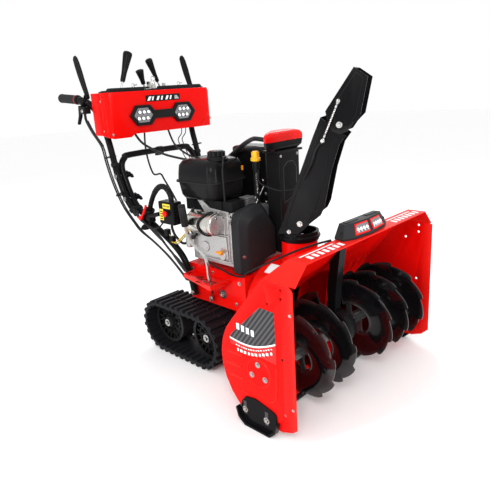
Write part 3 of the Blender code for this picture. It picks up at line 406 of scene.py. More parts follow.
def make_shell():
    """The wrapped sheet of the housing, with pressed ribs in its round back."""
    rows = []
    bm = bmesh.new()
    for x, top in ((-0.380, 0.477), (-0.330, 0.527), (0.330, 0.527), (0.380, 0.477)):
        sheet = housing_line(0.0, top) + housing_line(-0.003, top)[::-1]
        rows.append([bm.verts.new((x, y, z)) for y, z in sheet])
    count = len(rows[0])
    for left, right in zip(rows, rows[1:]):
        for i in range(count):
            j = (i + 1) % count
            bm.faces.new((left[i], left[j], right[j], right[i]))
    half = count // 2
    for row in (rows[0], rows[-1]):
        for i in range(half - 1):
            bm.faces.new((row[i], row[i + 1], row[count - 2 - i], row[count - 1 - i]))
    shell = piece("housing_wrap", bm, RED, None, slot="red_paint")
    hole = bmesh.new()
    add_lathe(hole, [(0, 0.20), (0.150, 0.20), (0.150, 0.36), (0, 0.36)], (0, 0, DRUM_Z), (0, 1, 0), 48)
    cut(shell, hole)
    settle(shell, "auger_housing_shell", smooth=True)
    ribs = bmesh.new()
    for x in (-0.335, -0.285, -0.235, 0.185, 0.235, 0.285, 0.335):
        line = [Vector((x, y, z)) for y, z in housing_line(-0.0028, 0.527)[1:22]]
        add_tube(ribs, smooth_path([line[i] for i in (1, 6, 10, 14, 18)], 8), 0.0028, 8)
    piece("housing_ribs", ribs, RED)


def side_plate_holes():
    """The (y, z) places of the holes through a side plate."""
    return ((0.047, 0.461), (0.047, 0.436), (0.096, 0.411), (0.050, 0.258), (0.048, 0.084))


def make_side(side, where):
    """One side plate with its holes, pressings, bearing screws and decal."""
    face = side * 0.385
    plate = piece("side_plate_" + where, from_node("housing_side_" + where), RED, None, slot="red_paint")
    holes = bmesh.new()
    for y, z in side_plate_holes():
        add_lathe(holes, [(0, -0.03), (0.0042, -0.03), (0.0042, 0.03), (0, 0.03)], (face, y, z), (1, 0, 0), 14)
    cut(plate, holes)
    settle(plate, "housing_side_" + where, 0.0008, 2, 38)
    pressed = bmesh.new()
    for start, stop in (((0.262, 0.220), (0.200, 0.220)), ((0.272, 0.181), (0.210, 0.181)),
                        ((0.261, 0.144), (0.203, 0.144))):
        add_rod(pressed, (face - side * 0.0018, *start), (face - side * 0.0018, *stop), 0.0052, 16)
    bead = [(face - side * 0.0008, y, z) for y, z in ((0.073, 0.222), (0.074, 0.170), (0.079, 0.127), (0.100, 0.107),
                                                     (0.150, 0.102), (0.214, 0.102))]
    add_tube(pressed, smooth_path(bead, 6), 0.0030, 8)
    add_lathe(pressed, [(0.040, -0.001), (0.047, -0.001), (0.045, 0.0016), (0.042, 0.0022), (0.040, 0.0016)],
              (face, 0.140, 0.186), (side, 0, 0), 40, closed=True)
    piece("side_pressings_" + where, pressed, RED)
    bolts = bmesh.new()
    for y, z in ((0.143, 0.211), (0.168, 0.172), (0.117, 0.172)):
        add_bolt(bolts, (face, y, z), (side, 0, 0), 0.0052)
    for y, z in ((0.198, 0.048), (0.113, 0.044)):
        add_bolt(bolts, (side * 0.3914, y, z), (side, 0, 0), 0.0065, 1.6)
    for y, z in ((0.012, 0.120), (0.012, 0.400)):
        add_bolt(bolts, (side * 0.3905, y, z), (side, -0.35, 0), 0.0032, 1.4)
    piece("side_bolts_" + where, bolts, ZINC)
    slots = bmesh.new()
    for y, z in ((0.198, 0.052), (0.113, 0.048)):
        outline = [(y - 0.006, z - 0.020), (y + 0.006, z - 0.020), (y + 0.006, z + 0.024), (y - 0.006, z + 0.024)]
        add_prism(slots, outline, "x", side * 0.3912, side * 0.3917)
    piece("shoe_slots_" + where, slots, DULL)
    make_side_decal(side, where)


def swoosh(y):
    """The decal's white line, z over y."""
    share = (y - 0.071) / 0.178
    return 0.300 - 0.030 * share - 0.018 * math.sin(math.pi * share)


def make_side_decal(side, where):
    """A striped field over a red one, parted by a white sweep, with plain bars for lettering."""
    face, raised = side * 0.3854, side * 0.3863
    steps = [0.071 + 0.178 * i / 16 for i in range(17)]
    sweep = [(y, swoosh(y)) for y in steps]
    field = bmesh.new()
    add_prism(field, [(0.249, 0.271), (0.242, 0.282), (0.124, 0.393), (0.071, 0.391)] + sweep, "x", face,
              face + side * 0.0004)
    piece("decal_field_" + where, field, STRIPED)
    lower = bmesh.new()
    add_prism(lower, [(0.249, 0.248), (0.071, 0.236)] + sweep, "x", face, face + side * 0.0003)
    piece("decal_lower_" + where, lower, DEEP_RED)
    marks = bmesh.new()
    add_prism(marks, sweep + [(y, z - 0.0052) for y, z in sweep[::-1]], "x", face, raised)
    for row, size, drop in ((0.0130, 0.0036, 15), (0.0245, 0.0085, 10)):
        for i in range(drop):
            y = 0.084 + (0.145 / drop) * i
            z = swoosh(y) - row
            wide = 0.145 / drop * (0.62 if i % 3 else 0.45)
            add_box(marks, (face, y, z - size), (raised, y + wide, z))
    for i in range(4):
        y = 0.150 + 0.019 * i
        add_box(marks, (face, y, 0.297 + 0.002 * i), (raised, y + 0.011, 0.316 + 0.002 * i))
    piece("decal_marks_" + where, marks, WHITE)


def make_top_marks():
    """Plain white printed bars on the top panel, on both sides of the lamp bar, and the drum's label."""
    marks = bmesh.new()
    top = 0.5272
    for side, start in ((-1, 0.150), (1, 0.150)):
        for i in range(7):
            x = side * (start + 0.024 * i)
            outline = [(x, 0.012), (x + 0.013, 0.012), (x + 0.018, 0.036), (x + 0.005, 0.036)]
            add_prism(marks, outline, "z", top - 0.0002, top + 0.0004)
        outline = [(side * 0.150, 0.044), (side * 0.300, 0.044), (side * 0.302, 0.049), (side * 0.152, 0.049)]
        add_prism(marks, outline, "z", top - 0.0002, top + 0.0004)
    piece("top_marks", marks, WHITE)
    label = bmesh.new()
    arc = [math.radians(20 + 14 * i / 6) for i in range(7)]
    curve = [(-DRUM_OUTER * math.sin(a), DRUM_Z + DRUM_OUTER * math.cos(a)) for a in arc]
    lifted = [(x * 1.004, DRUM_Z + (z - DRUM_Z) * 1.004) for x, z in curve]
    add_prism(label, curve + lifted[::-1], "y", 0.319, 0.363)
    piece("drum_label", label, WHITE)


def make_housing():
    """The whole auger housing."""
    make_shell()
    for side, where in SIDES:
        make_side(side, where)
        dress("skid_shoe_" + where, 0.0014, 3)
    dress("scraper_bar", 0.001)
    dress("impeller_drum", 0.001)
    make_top_marks()
    seam = bmesh.new()
    add_lathe(seam, [(0.0605, 0.392), (0.0635, 0.394), (0.0635, 0.398), (0.0605, 0.400)], (0, 0.285, 0), (0, 0, 1), 40,
              closed=True)
    piece("collar_bead", seam, RED)


# ---------------------------------------------------------------- augers

def tooth_radius(angle):
    """The saw-toothed outer edge of a flight."""
    share = (angle / (2 * math.pi) * 11) % 1.0
    return 0.1395 + 0.0105 * min(1.0, share * 1.25)


def add_flight(bm, side):
    """A ribbon flight: dished sheet with a rolled inner edge and a toothed outer one."""
    turns, start, stop, phase = 2.5, side * 0.054, side * 0.326, math.radians(70)
    steps = 400
    rows = []
    inner = []
    for i in range(steps + 1):
        share = i / steps
        turn = 2 * math.pi * turns * share
        angle = phase + side * turn
        x = start + (stop - start) * share
        outer = tooth_radius(turn)
        section = []
        for radius, push in ((0.062, 0.0), (0.082, 0.0050), (0.106, 0.0068), (0.128, 0.0042), (outer, 0.0)):
            section.append((radius, push * side))
        line = section + [(r, p - side * 0.0030) for r, p in section[::-1]]
        rows.append([(x + p, AUGER_Y + r * math.cos(angle), AUGER_Z + r * math.sin(angle)) for r, p in line])
        if i % 4 == 0:
            inner.append(Vector((x - side * 0.001, AUGER_Y + 0.0625 * math.cos(angle),
                                 AUGER_Z + 0.0625 * math.sin(angle))))
    add_loft(bm, rows)
    add_tube(bm, inner, 0.0042, 8)


def make_auger(side, where):
    """One auger: ribbon flight, arms, tube and shear bolt."""
    body = "auger"
    flight = bmesh.new()
    add_flight(flight, side)
    for i in range(6):
        share = 0.02 + 0.192 * i
        angle = math.radians(70) + side * 2 * math.pi * 2.5 * share
        x = side * (0.054 + 0.272 * share)
        ray = Vector((0, math.cos(angle), math.sin(angle)))
        across = Vector((0, -math.sin(angle), math.cos(angle)))
        middle = Vector((x, AUGER_Y, AUGER_Z))
        path = [middle + ray * r for r in (0.018, 0.034, 0.050, 0.068)]
        corners = []
        for point, wide in zip(path, (0.013, 0.009, 0.009, 0.012)):
            corners.append([point + across * a * wide + Vector((b * 0.0032, 0, 0))
                            for a, b in ((-1, -1), (1, -1), (1, 1), (-1, 1))])
        add_loft(flight, corners)
    near, far = side * 0.042, side * 0.362
    add_lathe(flight, [(0.0125, near), (0.022, near), (0.022, far), (0.0125, far)], (0, AUGER_Y, AUGER_Z), (1, 0, 0),
              32,
              closed=True)
    for x in (side * 0.050, side * 0.352):
        add_lathe(flight, [(0.0215, x - 0.006), (0.0255, x - 0.006), (0.0265, x), (0.0255, x + 0.006),
                           (0.0215, x + 0.006)],
                  (0, AUGER_Y, AUGER_Z), (1, 0, 0), 32, closed=True)
    piece("auger_ribbon_" + where, flight, FLIGHT, body, 34, stands_for=("auger_" + where,), slot="black_paint")
    pin = bmesh.new()
    add_bolt(pin, (side * 0.066, 0.128, 0.2095), (0, 0, 1), 0.0048)
    add_rod(pin, (side * 0.066, 0.128, 0.1655), (side * 0.066, 0.128, 0.172), 0.0042)
    piece("shear_bolt_" + where, pin, ZINC, body)


def make_augers():
    """Both augers, their shaft, the gearbox and the impeller."""
    for side, where in SIDES:
        make_auger(side, where)
    dress("auger_shaft", 0.0008)
    dress("auger_gearbox", 0.0015, 3)
    dress("impeller", 0.0008)
    bolts = bmesh.new()
    for i in range(6):
        angle = math.radians(60 * i + 20)
        for side in (-1, 1):
            add_bolt(bolts, (side * 0.0290, AUGER_Y + 0.044 * math.cos(angle), AUGER_Z + 0.044 * math.sin(angle)),
                     (side, 0.5 * math.cos(angle), 0.5 * math.sin(angle)), 0.0036, 1.3)
    piece("gearbox_bolts", bolts, ZINC)


# ---------------------------------------------------------------- tracks

def belt_point(distance, radius):
    """(y, z) at a distance along the belt's pitch line, at a radius from the axle centres."""
    arc = math.pi * BELT_R
    run = DRIVE_Y - IDLER_Y
    distance %= 2 * (run + arc)
    if distance < run:
        return (IDLER_Y + distance, AXLE_Z + radius)
    distance -= run
    if distance < arc:
        angle = math.pi / 2 - distance / BELT_R
        return (DRIVE_Y + radius * math.cos(angle), AXLE_Z + radius * math.sin(angle))
    distance -= arc
    if distance < run:
        return (DRIVE_Y - distance, AXLE_Z - radius)
    angle = -math.pi / 2 - (distance - run) / BELT_R
    return (IDLER_Y + radius * math.cos(angle), AXLE_Z + radius * math.sin(angle))


def add_belt_bar(bm, start, pitch, profile, x0, x1):
    """A bar across the belt between two x, its profile given as (share of a pitch, radius)."""
    section = [belt_point(start + part * pitch, radius) for part, radius in profile]
    add_loft(bm, [[(x, *p) for p in section] for x in (x0, x1)])


def make_track(side, where):
    """A rubber track: belt, leaning tread bars, inner ribs and a row of centre plates."""
    total = 2 * (DRIVE_Y - IDLER_Y + math.pi * BELT_R)
    pitch = total / LUGS
    low, high = sorted((side * 0.128, side * 0.266))
    centre = (low + high) / 2
    belt = bmesh.new()
    loops = []
    for radius in (0.0945, 0.0845):
        points = [belt_point(total * i / BELT_STEPS, radius) for i in range(BELT_STEPS)]
        loops.append([[belt.verts.new((x, y, z)) for y, z in points] for x in (low, high)])
    (outer_low, outer_high), (inner_low, inner_high) = loops
    ring = (outer_low, outer_high, inner_high, inner_low)
    for i in range(BELT_STEPS):
        j = (i + 1) % BELT_STEPS
        for a, b in zip(ring, ring[1:] + ring[:1]):
            belt.faces.new((a[i], a[j], b[j], b[i]))
    for lug in range(LUGS):
        start = lug * pitch
        for ends in ((low + 0.001, centre - 0.004), (centre + 0.004, high - 0.001)):
            sections = []
            for x in ends:
                lean = 0.10 * pitch * abs(x - centre) / 0.069
                sections.append([(x, *belt_point(start + part * pitch + lean, height))
                                 for part, height in ((0.30, 0.094), (0.44, 0.1045), (0.78, 0.1045), (0.92, 0.094))])
            add_loft(belt, sections)
        for x0, x1 in ((side * 0.2215, side * 0.2640), (side * 0.1300, side * 0.1440)):
            add_belt_bar(belt, start, pitch, ((0.40, 0.086), (0.82, 0.086), (0.76, 0.0795), (0.46, 0.0795)), x0, x1)
    piece("track_rubber_" + where, belt, RUBBER, "machine", 30, stands_for=("track_belt_" + where,),
          slot="track_rubber")
    plates = bmesh.new()
    middle = side * 0.197
    for lug in range(LUGS):
        add_belt_bar(plates, lug * pitch, pitch, ((0.40, 0.094), (0.46, 0.1015), (0.76, 0.1015), (0.82, 0.094)),
                     middle - 0.0030, middle + 0.0030)
    piece("track_plates_" + where, plates, DULL)


def make_wheel(side, where, kind, y):
    """A spoked wheel: rim with inner flange, thin paired spokes, middle ring and hub."""
    body = kind + "_wheel_body_" + where
    middle = (0, y, AXLE_Z)
    wheel = bmesh.new()
    a, b = side * 0.146, side * 0.216
    rim = [(0.0705, a), (0.0825, a), (0.0825, b), (0.0705, b), (0.0735, b - side * 0.010), (0.0735, a + side * 0.010)]
    add_lathe(wheel, rim, middle, (1, 0, 0), 48, closed=True)
    face = side * 0.210
    add_lathe(wheel, [(0.0490, face - side * 0.006), (0.0530, face - side * 0.006), (0.0530, face), (0.0490, face)],
              middle,
              (1, 0, 0), 40, closed=True)
    hub = [(0.0125, a), (0.026, a), (0.026, side * 0.205), (0.021, side * 0.221), (0.0125, side * 0.222)]
    add_lathe(wheel, hub, middle, (1, 0, 0), 32, closed=True)
    for i in range(10):
        for lean in (-0.16, 0.16):
            angle = math.radians(36 * i)
            inner = Vector((face, y + 0.022 * math.cos(angle + lean), AXLE_Z + 0.022 * math.sin(angle + lean)))
            outer = Vector((face, y + 0.0735 * math.cos(angle - lean), AXLE_Z + 0.0735 * math.sin(angle - lean)))
            way = (outer - inner).normalized()
            across = Vector((0, -way.z, way.y)) * 0.0022
            deep = Vector((side * 0.005, 0, 0))
            add_loft(wheel, [[p + s * across - d * deep for s, d in ((-1, 0), (1, 0), (1, 1), (-1, 1))]
                             for p in (inner, outer)])
    web = [(0.024, side * 0.178), (0.0725, side * 0.178), (0.0725, side * 0.183), (0.024, side * 0.183)]
    add_lathe(wheel, web, middle, (1, 0, 0), 40, closed=True)
    piece(kind + "_wheel_spokes_" + where, wheel, BLACK, body, 30, stands_for=(kind + "_wheel_" + where,),
          slot="black_plastic")
    bolt = bmesh.new()
    add_bolt(bolt, (side * 0.2262, y, AXLE_Z), (side, 0, 0), 0.0085, 1.75)
    piece(kind + "_wheel_bolt_" + where, bolt, ZINC, body)


def make_tracks():
    """Both tracks with their wheels and axles."""
    for side, where in SIDES:
        make_track(side, where)
        make_wheel(side, where, "drive", DRIVE_Y)
        make_wheel(side, where, "idler", IDLER_Y)
    dress("front_axle", 0.0008)
    dress("rear_axle", 0.0008)


# ---------------------------------------------------------------- chassis

def make_chassis():
    """The frame with its bolts, washers, slot lining, the gate's ledge and the tilt lever."""
    dress("chassis_frame", 0.0022, 3)
    washers = bmesh.new()
    bolts = bmesh.new()
    for side in (-1, 1):
        for y, z in ((0.616, 0.286), (0.512, 0.265)):
            add_lathe(washers, [(0, 0), (0.0165, 0), (0.0165, 0.002), (0.0130, 0.0032), (0, 0.0032)],
                      (side * 0.160, y, z), (side, 0, 0), 28)
            add_bolt(bolts, (side * 0.1632, y, z), (side, 0, 0), 0.0075, 1.2)
        for y, z in ((0.427, 0.323), (0.448, 0.242), (0.560, 0.338), (0.668, 0.334)):
            add_bolt(bolts, (side * 0.160, y, z), (side, 0, 0), 0.0048, 1.5)
        add_bolt(bolts, (side * 0.1870, 0.652, 0.247), (side, 0, 0), 0.0065, 1.4)
        add_rod(bolts, (side * 0.1585, 0.652, 0.247), (side * 0.1880, 0.652, 0.247), 0.0045)
    piece("chassis_washers", washers, DULL)
    piece("chassis_bolts", bolts, ZINC)
    lining = bmesh.new()
    add_box(lining, (-0.2385, 0.482, 0.3256), (-0.2045, 0.4875, 0.3268))
    add_box(lining, (-0.2385, 0.5605, 0.3256), (-0.2045, 0.566, 0.3268))
    add_box(lining, (-0.2395, 0.482, 0.3256), (-0.2355, 0.566, 0.3268))
    add_box(lining, (-0.2075, 0.482, 0.3256), (-0.2035, 0.566, 0.3268))
    add_box(lining, (-0.2300, 0.575, 0.3256), (-0.1900, 0.585, 0.3264))
    add_box(lining, (-0.2250, 0.592, 0.3256), (-0.1900, 0.600, 0.3264))
    piece("gate_lining", lining, SATIN)
    rails = bmesh.new()
    ring = [(-0.1560, 0.4770), (-0.2490, 0.4770), (-0.2100, 0.6620), (-0.1560, 0.6620), (-0.1560, 0.6540),
            (-0.2030, 0.6540),
            (-0.2400, 0.4840), (-0.1560, 0.4840)]
    add_prism(rails, ring, "z", 0.3265, 0.3300)
    add_prism(rails, [(-0.2490, 0.4770), (-0.2100, 0.6620), (-0.2125, 0.6620), (-0.2515, 0.4770)], "z", 0.3150, 0.3300)
    add_prism(rails, [(-0.1560, 0.4770), (-0.2515, 0.4770), (-0.2515, 0.4745), (-0.1560, 0.4745)], "z", 0.3150, 0.3300)
    piece("ledge_rail", rails, RED)
    dress("tilt_lever", 0.0)
    dress("tilt_lever_grip", 0.004, 3)
    gate_bolt = bmesh.new()
    add_bolt(gate_bolt, (-0.1765, 0.562, 0.240), (-1, 0, 0), 0.0065, 1.5)
    piece("tilt_lever_bolt", gate_bolt, ZINC, "tilt_lever_body")


# ---------------------------------------------------------------- engine

def round_box(name, low, high, finish, bevel, body="machine", **more):
    """A box piece with rounded edges."""
    bm = bmesh.new()
    add_box(bm, low, high)
    return piece(name, bm, finish, body, bevel=bevel, segments=5, **more)


def make_block():
    """The crankcase and head castings with their flange, ribs, fins and screws."""
    dress("engine_block", 0.010, 4)
    flange = bmesh.new()
    outline = [(0.458, 0.384), (0.600, 0.384), (0.644, 0.420), (0.652, 0.480), (0.620, 0.548), (0.470, 0.553),
               (0.456, 0.520)]
    add_prism(flange, outline, "x", -0.149, -0.1535)
    inner = [(0.474, 0.400), (0.592, 0.400), (0.626, 0.430), (0.632, 0.478), (0.608, 0.480), (0.480, 0.480)]
    add_prism(flange, inner, "x", -0.150, -0.1585)
    for y, z, radius in ((0.500, 0.410, 0.018), (0.588, 0.432, 0.022), (0.540, 0.500, 0.014), (0.636, 0.505, 0.012)):
        add_lathe(flange, [(0, 0), (radius, 0), (radius * 0.86, 0.013), (0, 0.013)], (-0.1500, y, z), (-1, 0, 0), 24)
    for y in (0.468, 0.486, 0.640):
        add_box(flange, (-0.158, y - 0.002, 0.386), (-0.150, y + 0.002, 0.545))
    for z in (0.392, 0.486):
        add_box(flange, (-0.1605, 0.464, z - 0.002), (-0.150, 0.640, z + 0.002))
    add_prism(flange, [(0.468, 0.548), (0.585, 0.556), (0.628, 0.606), (0.612, 0.612), (0.560, 0.574), (0.468, 0.568)],
              "x", -0.146, -0.152)
    add_box(flange, (-0.150, 0.4525, 0.548), (0.020, 0.462, 0.566))
    for i in range(7):
        add_box(flange, (-0.066, 0.4565, 0.5625 + 0.0062 * i), (-0.022, 0.498, 0.5650 + 0.0062 * i))
    for i in range(9):
        add_box(flange, (0.070 + 0.0125 * i, 0.4765, 0.380), (0.0735 + 0.0125 * i, 0.6435, 0.4795))
    piece("crankcase_castings", flange, CAST, bevel=0.0016, segments=2)
    screws = bmesh.new()
    for y, z in ((0.462, 0.535), (0.462, 0.392), (0.610, 0.390), (0.646, 0.440), (0.640, 0.530), (0.585, 0.548),
                 (0.520, 0.560)):
        add_bolt(screws, (-0.1535, y, z), (-1, 0, 0), 0.0050, 1.35)
    for x, z in ((-0.140, 0.557), (-0.100, 0.557), (-0.072, 0.562)):
        add_bolt(screws, (x, 0.4525, z), (0, -1, 0), 0.0042, 1.4)
    for x in (-0.105, 0.105):
        for y in (0.475, 0.645):
            add_bolt(screws, (x, y, 0.378), (0, 0, 1), 0.0050, 1.6)
    piece("engine_screws", screws, ZINC)
    plug = bmesh.new()
    add_lathe(plug, [(0, 0), (0.0085, 0), (0.0085, 0.010), (0, 0.011)], (-0.1585, 0.505, 0.420), (-1, 0, 0.25), 18)
    add_box(plug, (-0.178, 0.490, 0.4225), (-0.168, 0.520, 0.4290))
    piece("oil_plug", plug, ORANGE, bevel=0.0016, segments=2)
    shroud = bmesh.new()
    add_box(shroud, (-0.142, 0.4585, 0.566), (-0.078, 0.503, 0.600))
    for i in range(8):
        add_box(shroud, (-0.1395 + 0.0078 * i, 0.4555, 0.569), (-0.1355 + 0.0078 * i, 0.460, 0.597))
    add_box(shroud, (-0.146, 0.505, 0.556), (-0.140, 0.690, 0.600))
    piece("intake_shroud", shroud, SATIN, bevel=0.001)
    spring = bmesh.new()
    coil = [Vector((-0.016 + 0.0040 * math.cos(i * 0.9), 0.4545 + 0.0040 * math.sin(i * 0.9), 0.610 + 0.0009 * i))
            for i in range(80)]
    add_tube(spring, coil, 0.0008, 6)
    add_rod(spring, (-0.020, 0.4600, 0.575), (0.022, 0.4560, 0.632), 0.0022)
    for x, y, z in ((0.020, 0.4560, 0.650), (0.034, 0.4590, 0.600), (0.034, 0.4590, 0.570), (-0.022, 0.458, 0.596)):
        add_bolt(spring, (x, y, z), (0, -1, 0), 0.0046, 1.5)
    piece("governor_linkage", spring, ZINC)
    canister = bmesh.new()
    add_lathe(canister, [(0, 0), (0.012, 0), (0.014, 0.003), (0.014, 0.046), (0.010, 0.050), (0, 0.050)],
              (-0.168, 0.664, 0.420), (0, 0, 1), 24)
    add_box(canister, (-0.170, 0.640, 0.436), (-0.150, 0.666, 0.452))
    piece("fuel_filter", canister, CAST, bevel=0.001)


def make_tank():
    """The fuel tank: two moulded halves and the seam between them, with its cap, filler neck and sticker; the cap's
    tether is made with the cables.
    """
    tank = bmesh.new()
    upper = [((-0.175, 0.514), (0.004, 0.708), 0.6645), ((-0.173, 0.516), (0.002, 0.706), 0.694),
             ((-0.170, 0.519), (-0.001, 0.703), 0.718), ((-0.160, 0.529), (-0.011, 0.694), 0.733),
             ((-0.140, 0.548), (-0.030, 0.675), 0.7395)]
    lower = [((-0.146, 0.535), (-0.018, 0.680), 0.5612), ((-0.146, 0.535), (-0.018, 0.680), 0.596),
             ((-0.160, 0.527), (-0.008, 0.696), 0.6000), ((-0.168, 0.520), (-0.002, 0.702), 0.614),
             ((-0.174, 0.515), (0.003, 0.707), 0.6610)]
    for levels in (upper, lower):
        add_loft(tank, [rounded_plan(low, high, z, 0.030) for low, high, z in levels])
    add_loft(tank, [rounded_plan((-0.181, 0.508), (0.010, 0.716), z, 0.036) for z in (0.6600, 0.6655)])
    piece("tank_shell", tank, GLOSS, "machine", 50, stands_for=("fuel_tank",), slot="black_plastic")
    cap = bmesh.new()
    profile = [(0, 0.0), (0.034, 0.0), (0.034, 0.006), (0.030, 0.008)]
    add_lathe(cap, profile + [(0.029, 0.022), (0.025, 0.026), (0, 0.027)], (-0.100, 0.560, 0.7400), (0, 0, 1), 36)
    for i in range(12):
        angle = math.radians(30 * i)
        x, y = -0.100 + 0.0285 * math.cos(angle), 0.560 + 0.0285 * math.sin(angle)
        add_rod(cap, (x, y, 0.747), (x, y, 0.763), 0.0034, 10)
    piece("fuel_cap_ribbed", cap, GLOSS, "cap", 34, stands_for=("fuel_cap",), slot="black_plastic")
    neck = bmesh.new()
    add_lathe(neck, [(0.020, 0.7350), (0.040, 0.7350), (0.039, 0.7394), (0.020, 0.7396)], (-0.100, 0.560, 0),
              (0, 0, 1), 36,
              closed=True)
    piece("filler_neck", neck, SATIN)
    sticker = bmesh.new()
    add_box(sticker, (-0.026, 0.5148, 0.690), (-0.018, 0.5164, 0.706))
    piece("tank_sticker", sticker, ORANGE)


def rounded_plan(low, high, z, radius, per_corner=6):
    """A rectangle with rounded corners, as points at height z."""
    points = []
    centres = ((high[0] - radius, high[1] - radius), (low[0] + radius, high[1] - radius),
               (low[0] + radius, low[1] + radius), (high[0] - radius, low[1] + radius))
    for corner, (x, y) in enumerate(centres):
        for i in range(per_corner + 1):
            angle = math.radians(90 * corner + 90 * i / per_corner)
            points.append(Vector((x + radius * math.cos(angle), y + radius * math.sin(angle), z)))
    return points


def make_belt_cover():
    """The moulded belt cover: a banded edge round a raised panel."""
    outer = [(-0.160, 0.3575), (-0.160, 0.532), (-0.154, 0.556), (-0.138, 0.572), (-0.052, 0.585), (-0.034, 0.579),
             (-0.018, 0.558), (0.015, 0.501), (0.016, 0.3575)]
    inner = [(-0.132, 0.3575), (-0.132, 0.510), (-0.127, 0.532), (-0.112, 0.545), (-0.054, 0.558), (-0.040, 0.553),
             (-0.026, 0.536), (0.007, 0.490), (0.008, 0.3575)]
    cover = bmesh.new()
    add_loft(cover, [[Vector((x, y, z)) for x, z in loop] for loop, y in
                     ((outer, 0.4516), (outer, 0.4180), (inner, 0.3975))])
    shell = piece("belt_cover_shell", cover, COVER, None, 30, slot="grey_plastic")
    drum = bmesh.new()
    add_lathe(drum, [(0, 0.38), (0.1815, 0.38), (0.1815, 0.47), (0, 0.47)], (0, 0, DRUM_Z), (0, 1, 0), 64)
    cut(shell, drum)
    settle(shell, "belt_cover", 0.0045, 4, 20, smooth=True)
    clips = bmesh.new()
    add_bolt(clips, (-0.146, 0.4075, 0.420), (-0.6, -0.8, 0), 0.0042, 1.4)
    add_bolt(clips, (-0.148, 0.4300, 0.3640), (-0.3, -0.6, 0.7), 0.0042, 1.5)
    piece("belt_cover_clips", clips, ZINC)


def make_starters():
    """The electric starter with its lead, the recoil starter, switch box and its stop button."""
    motor = bmesh.new()
    profile = [(0, 0.4850), (0.0345, 0.4850), (0.0365, 0.4875), (0.0365, 0.4945), (0.0355, 0.4955), (0.0355, 0.500),
               (0.0370, 0.501), (0.0370, 0.600), (0.0345, 0.612), (0.020, 0.622), (0, 0.622)]
    add_lathe(motor, profile, (-0.190, 0, 0.530), (0, 1, 0), 48)
    add_box(motor, (-0.160, 0.560, 0.500), (-0.149, 0.605, 0.560))
    piece("starter_body", motor, NICKEL, "machine", 34, stands_for=("starter_motor",), slot="cast_aluminium")
    disc = bmesh.new()
    add_lathe(disc, [(0, 0), (0.0325, 0), (0.0320, 0.0012), (0, 0.0014)], (-0.190, 0.4852, 0.530), (0, -1, 0), 48)
    piece("starter_end_disc", disc, CAST)
    screws = bmesh.new()
    for z in (0.5535, 0.5065):
        add_bolt(screws, (-0.190 + (0.530 - z) * 0.15, 0.4842, z), (0, -1, 0), 0.0036, 1.35)
    add_rod(screws, (-0.190, 0.590, 0.560), (-0.190, 0.590, 0.574), 0.005)
    piece("starter_screws", screws, ZINC)
    mark = bmesh.new()
    curl = [Vector((-0.192 + 0.007 * math.cos(a / 5), 0.4836, 0.528 + 0.009 * math.sin(a / 5))) for a in range(10, 26)]
    add_tube(mark, curl, 0.0008, 6)
    piece("starter_mark", mark, SCARLET)
    lead = bmesh.new()
    loop = [Vector((-0.190 + 0.0405 * math.cos(math.radians(a)), 0.540 - 0.022 * math.sin(math.radians(a)) ** 2,
                    0.530 + 0.0405 * math.sin(math.radians(a)))) for a in range(60, 331, 10)]
    add_tube(lead, loop, 0.0032, 8)
    piece("starter_lead", lead, HOSE)
    dress("recoil_starter", 0.003, 3)
    vents = bmesh.new()
    for i in range(16):
        angle = math.radians(22.5 * i)
        place = Matrix.Translation((-0.020, 0.7085, 0.482)) @ Matrix.Rotation(angle, 4, "Y")
        corners = [place @ Vector(c) for c in ((-0.003, -0.004, 0.066), (0.003, -0.004, 0.066), (0.003, -0.0005, 0.084),
                                              (-0.003, -0.0005, 0.084))]
        add_loft(vents, [corners, [c + Vector((0, 0.0075, 0)) for c in corners]])
    add_box(vents, (-0.036, 0.736, 0.500), (-0.004, 0.745, 0.512))
    piece("recoil_vents", vents, SATIN, bevel=0.0008)
    round_box("switch_housing", (-0.2160, 0.684, 0.506), (-0.1725, 0.770, 0.590), GLOSS, 0.005,
              stands_for=("switch_box",), slot="black_plastic")
    labels = bmesh.new()
    add_box(labels, (-0.2166, 0.700, 0.566), (-0.2160, 0.742, 0.583))
    add_box(labels, (-0.2166, 0.742, 0.520), (-0.2160, 0.764, 0.562))
    piece("switch_labels", labels, LABEL_YELLOW)
    lines = bmesh.new()
    for i in range(4):
        add_box(lines, (-0.2168, 0.7455, 0.524 + 0.009 * i), (-0.2164, 0.7605, 0.528 + 0.009 * i))
    for i in range(5):
        add_box(lines, (-0.2168, 0.704 + 0.0075 * i, 0.571), (-0.2164, 0.708 + 0.0075 * i, 0.578))
    piece("switch_label_marks", lines, SATIN)
    dress("stop_button", 0.0012, 3)
    arm = bmesh.new()
    add_tube(arm, smooth_path([(-0.212, 0.848, 0.520), (-0.214, 0.810, 0.530), (-0.212, 0.772, 0.540)], 5), 0.0085, 12)
    add_box(arm, (-0.1740, 0.690, 0.520), (-0.1480, 0.760, 0.536))
    piece("switch_arm", arm, GLOSS, bevel=0.001)


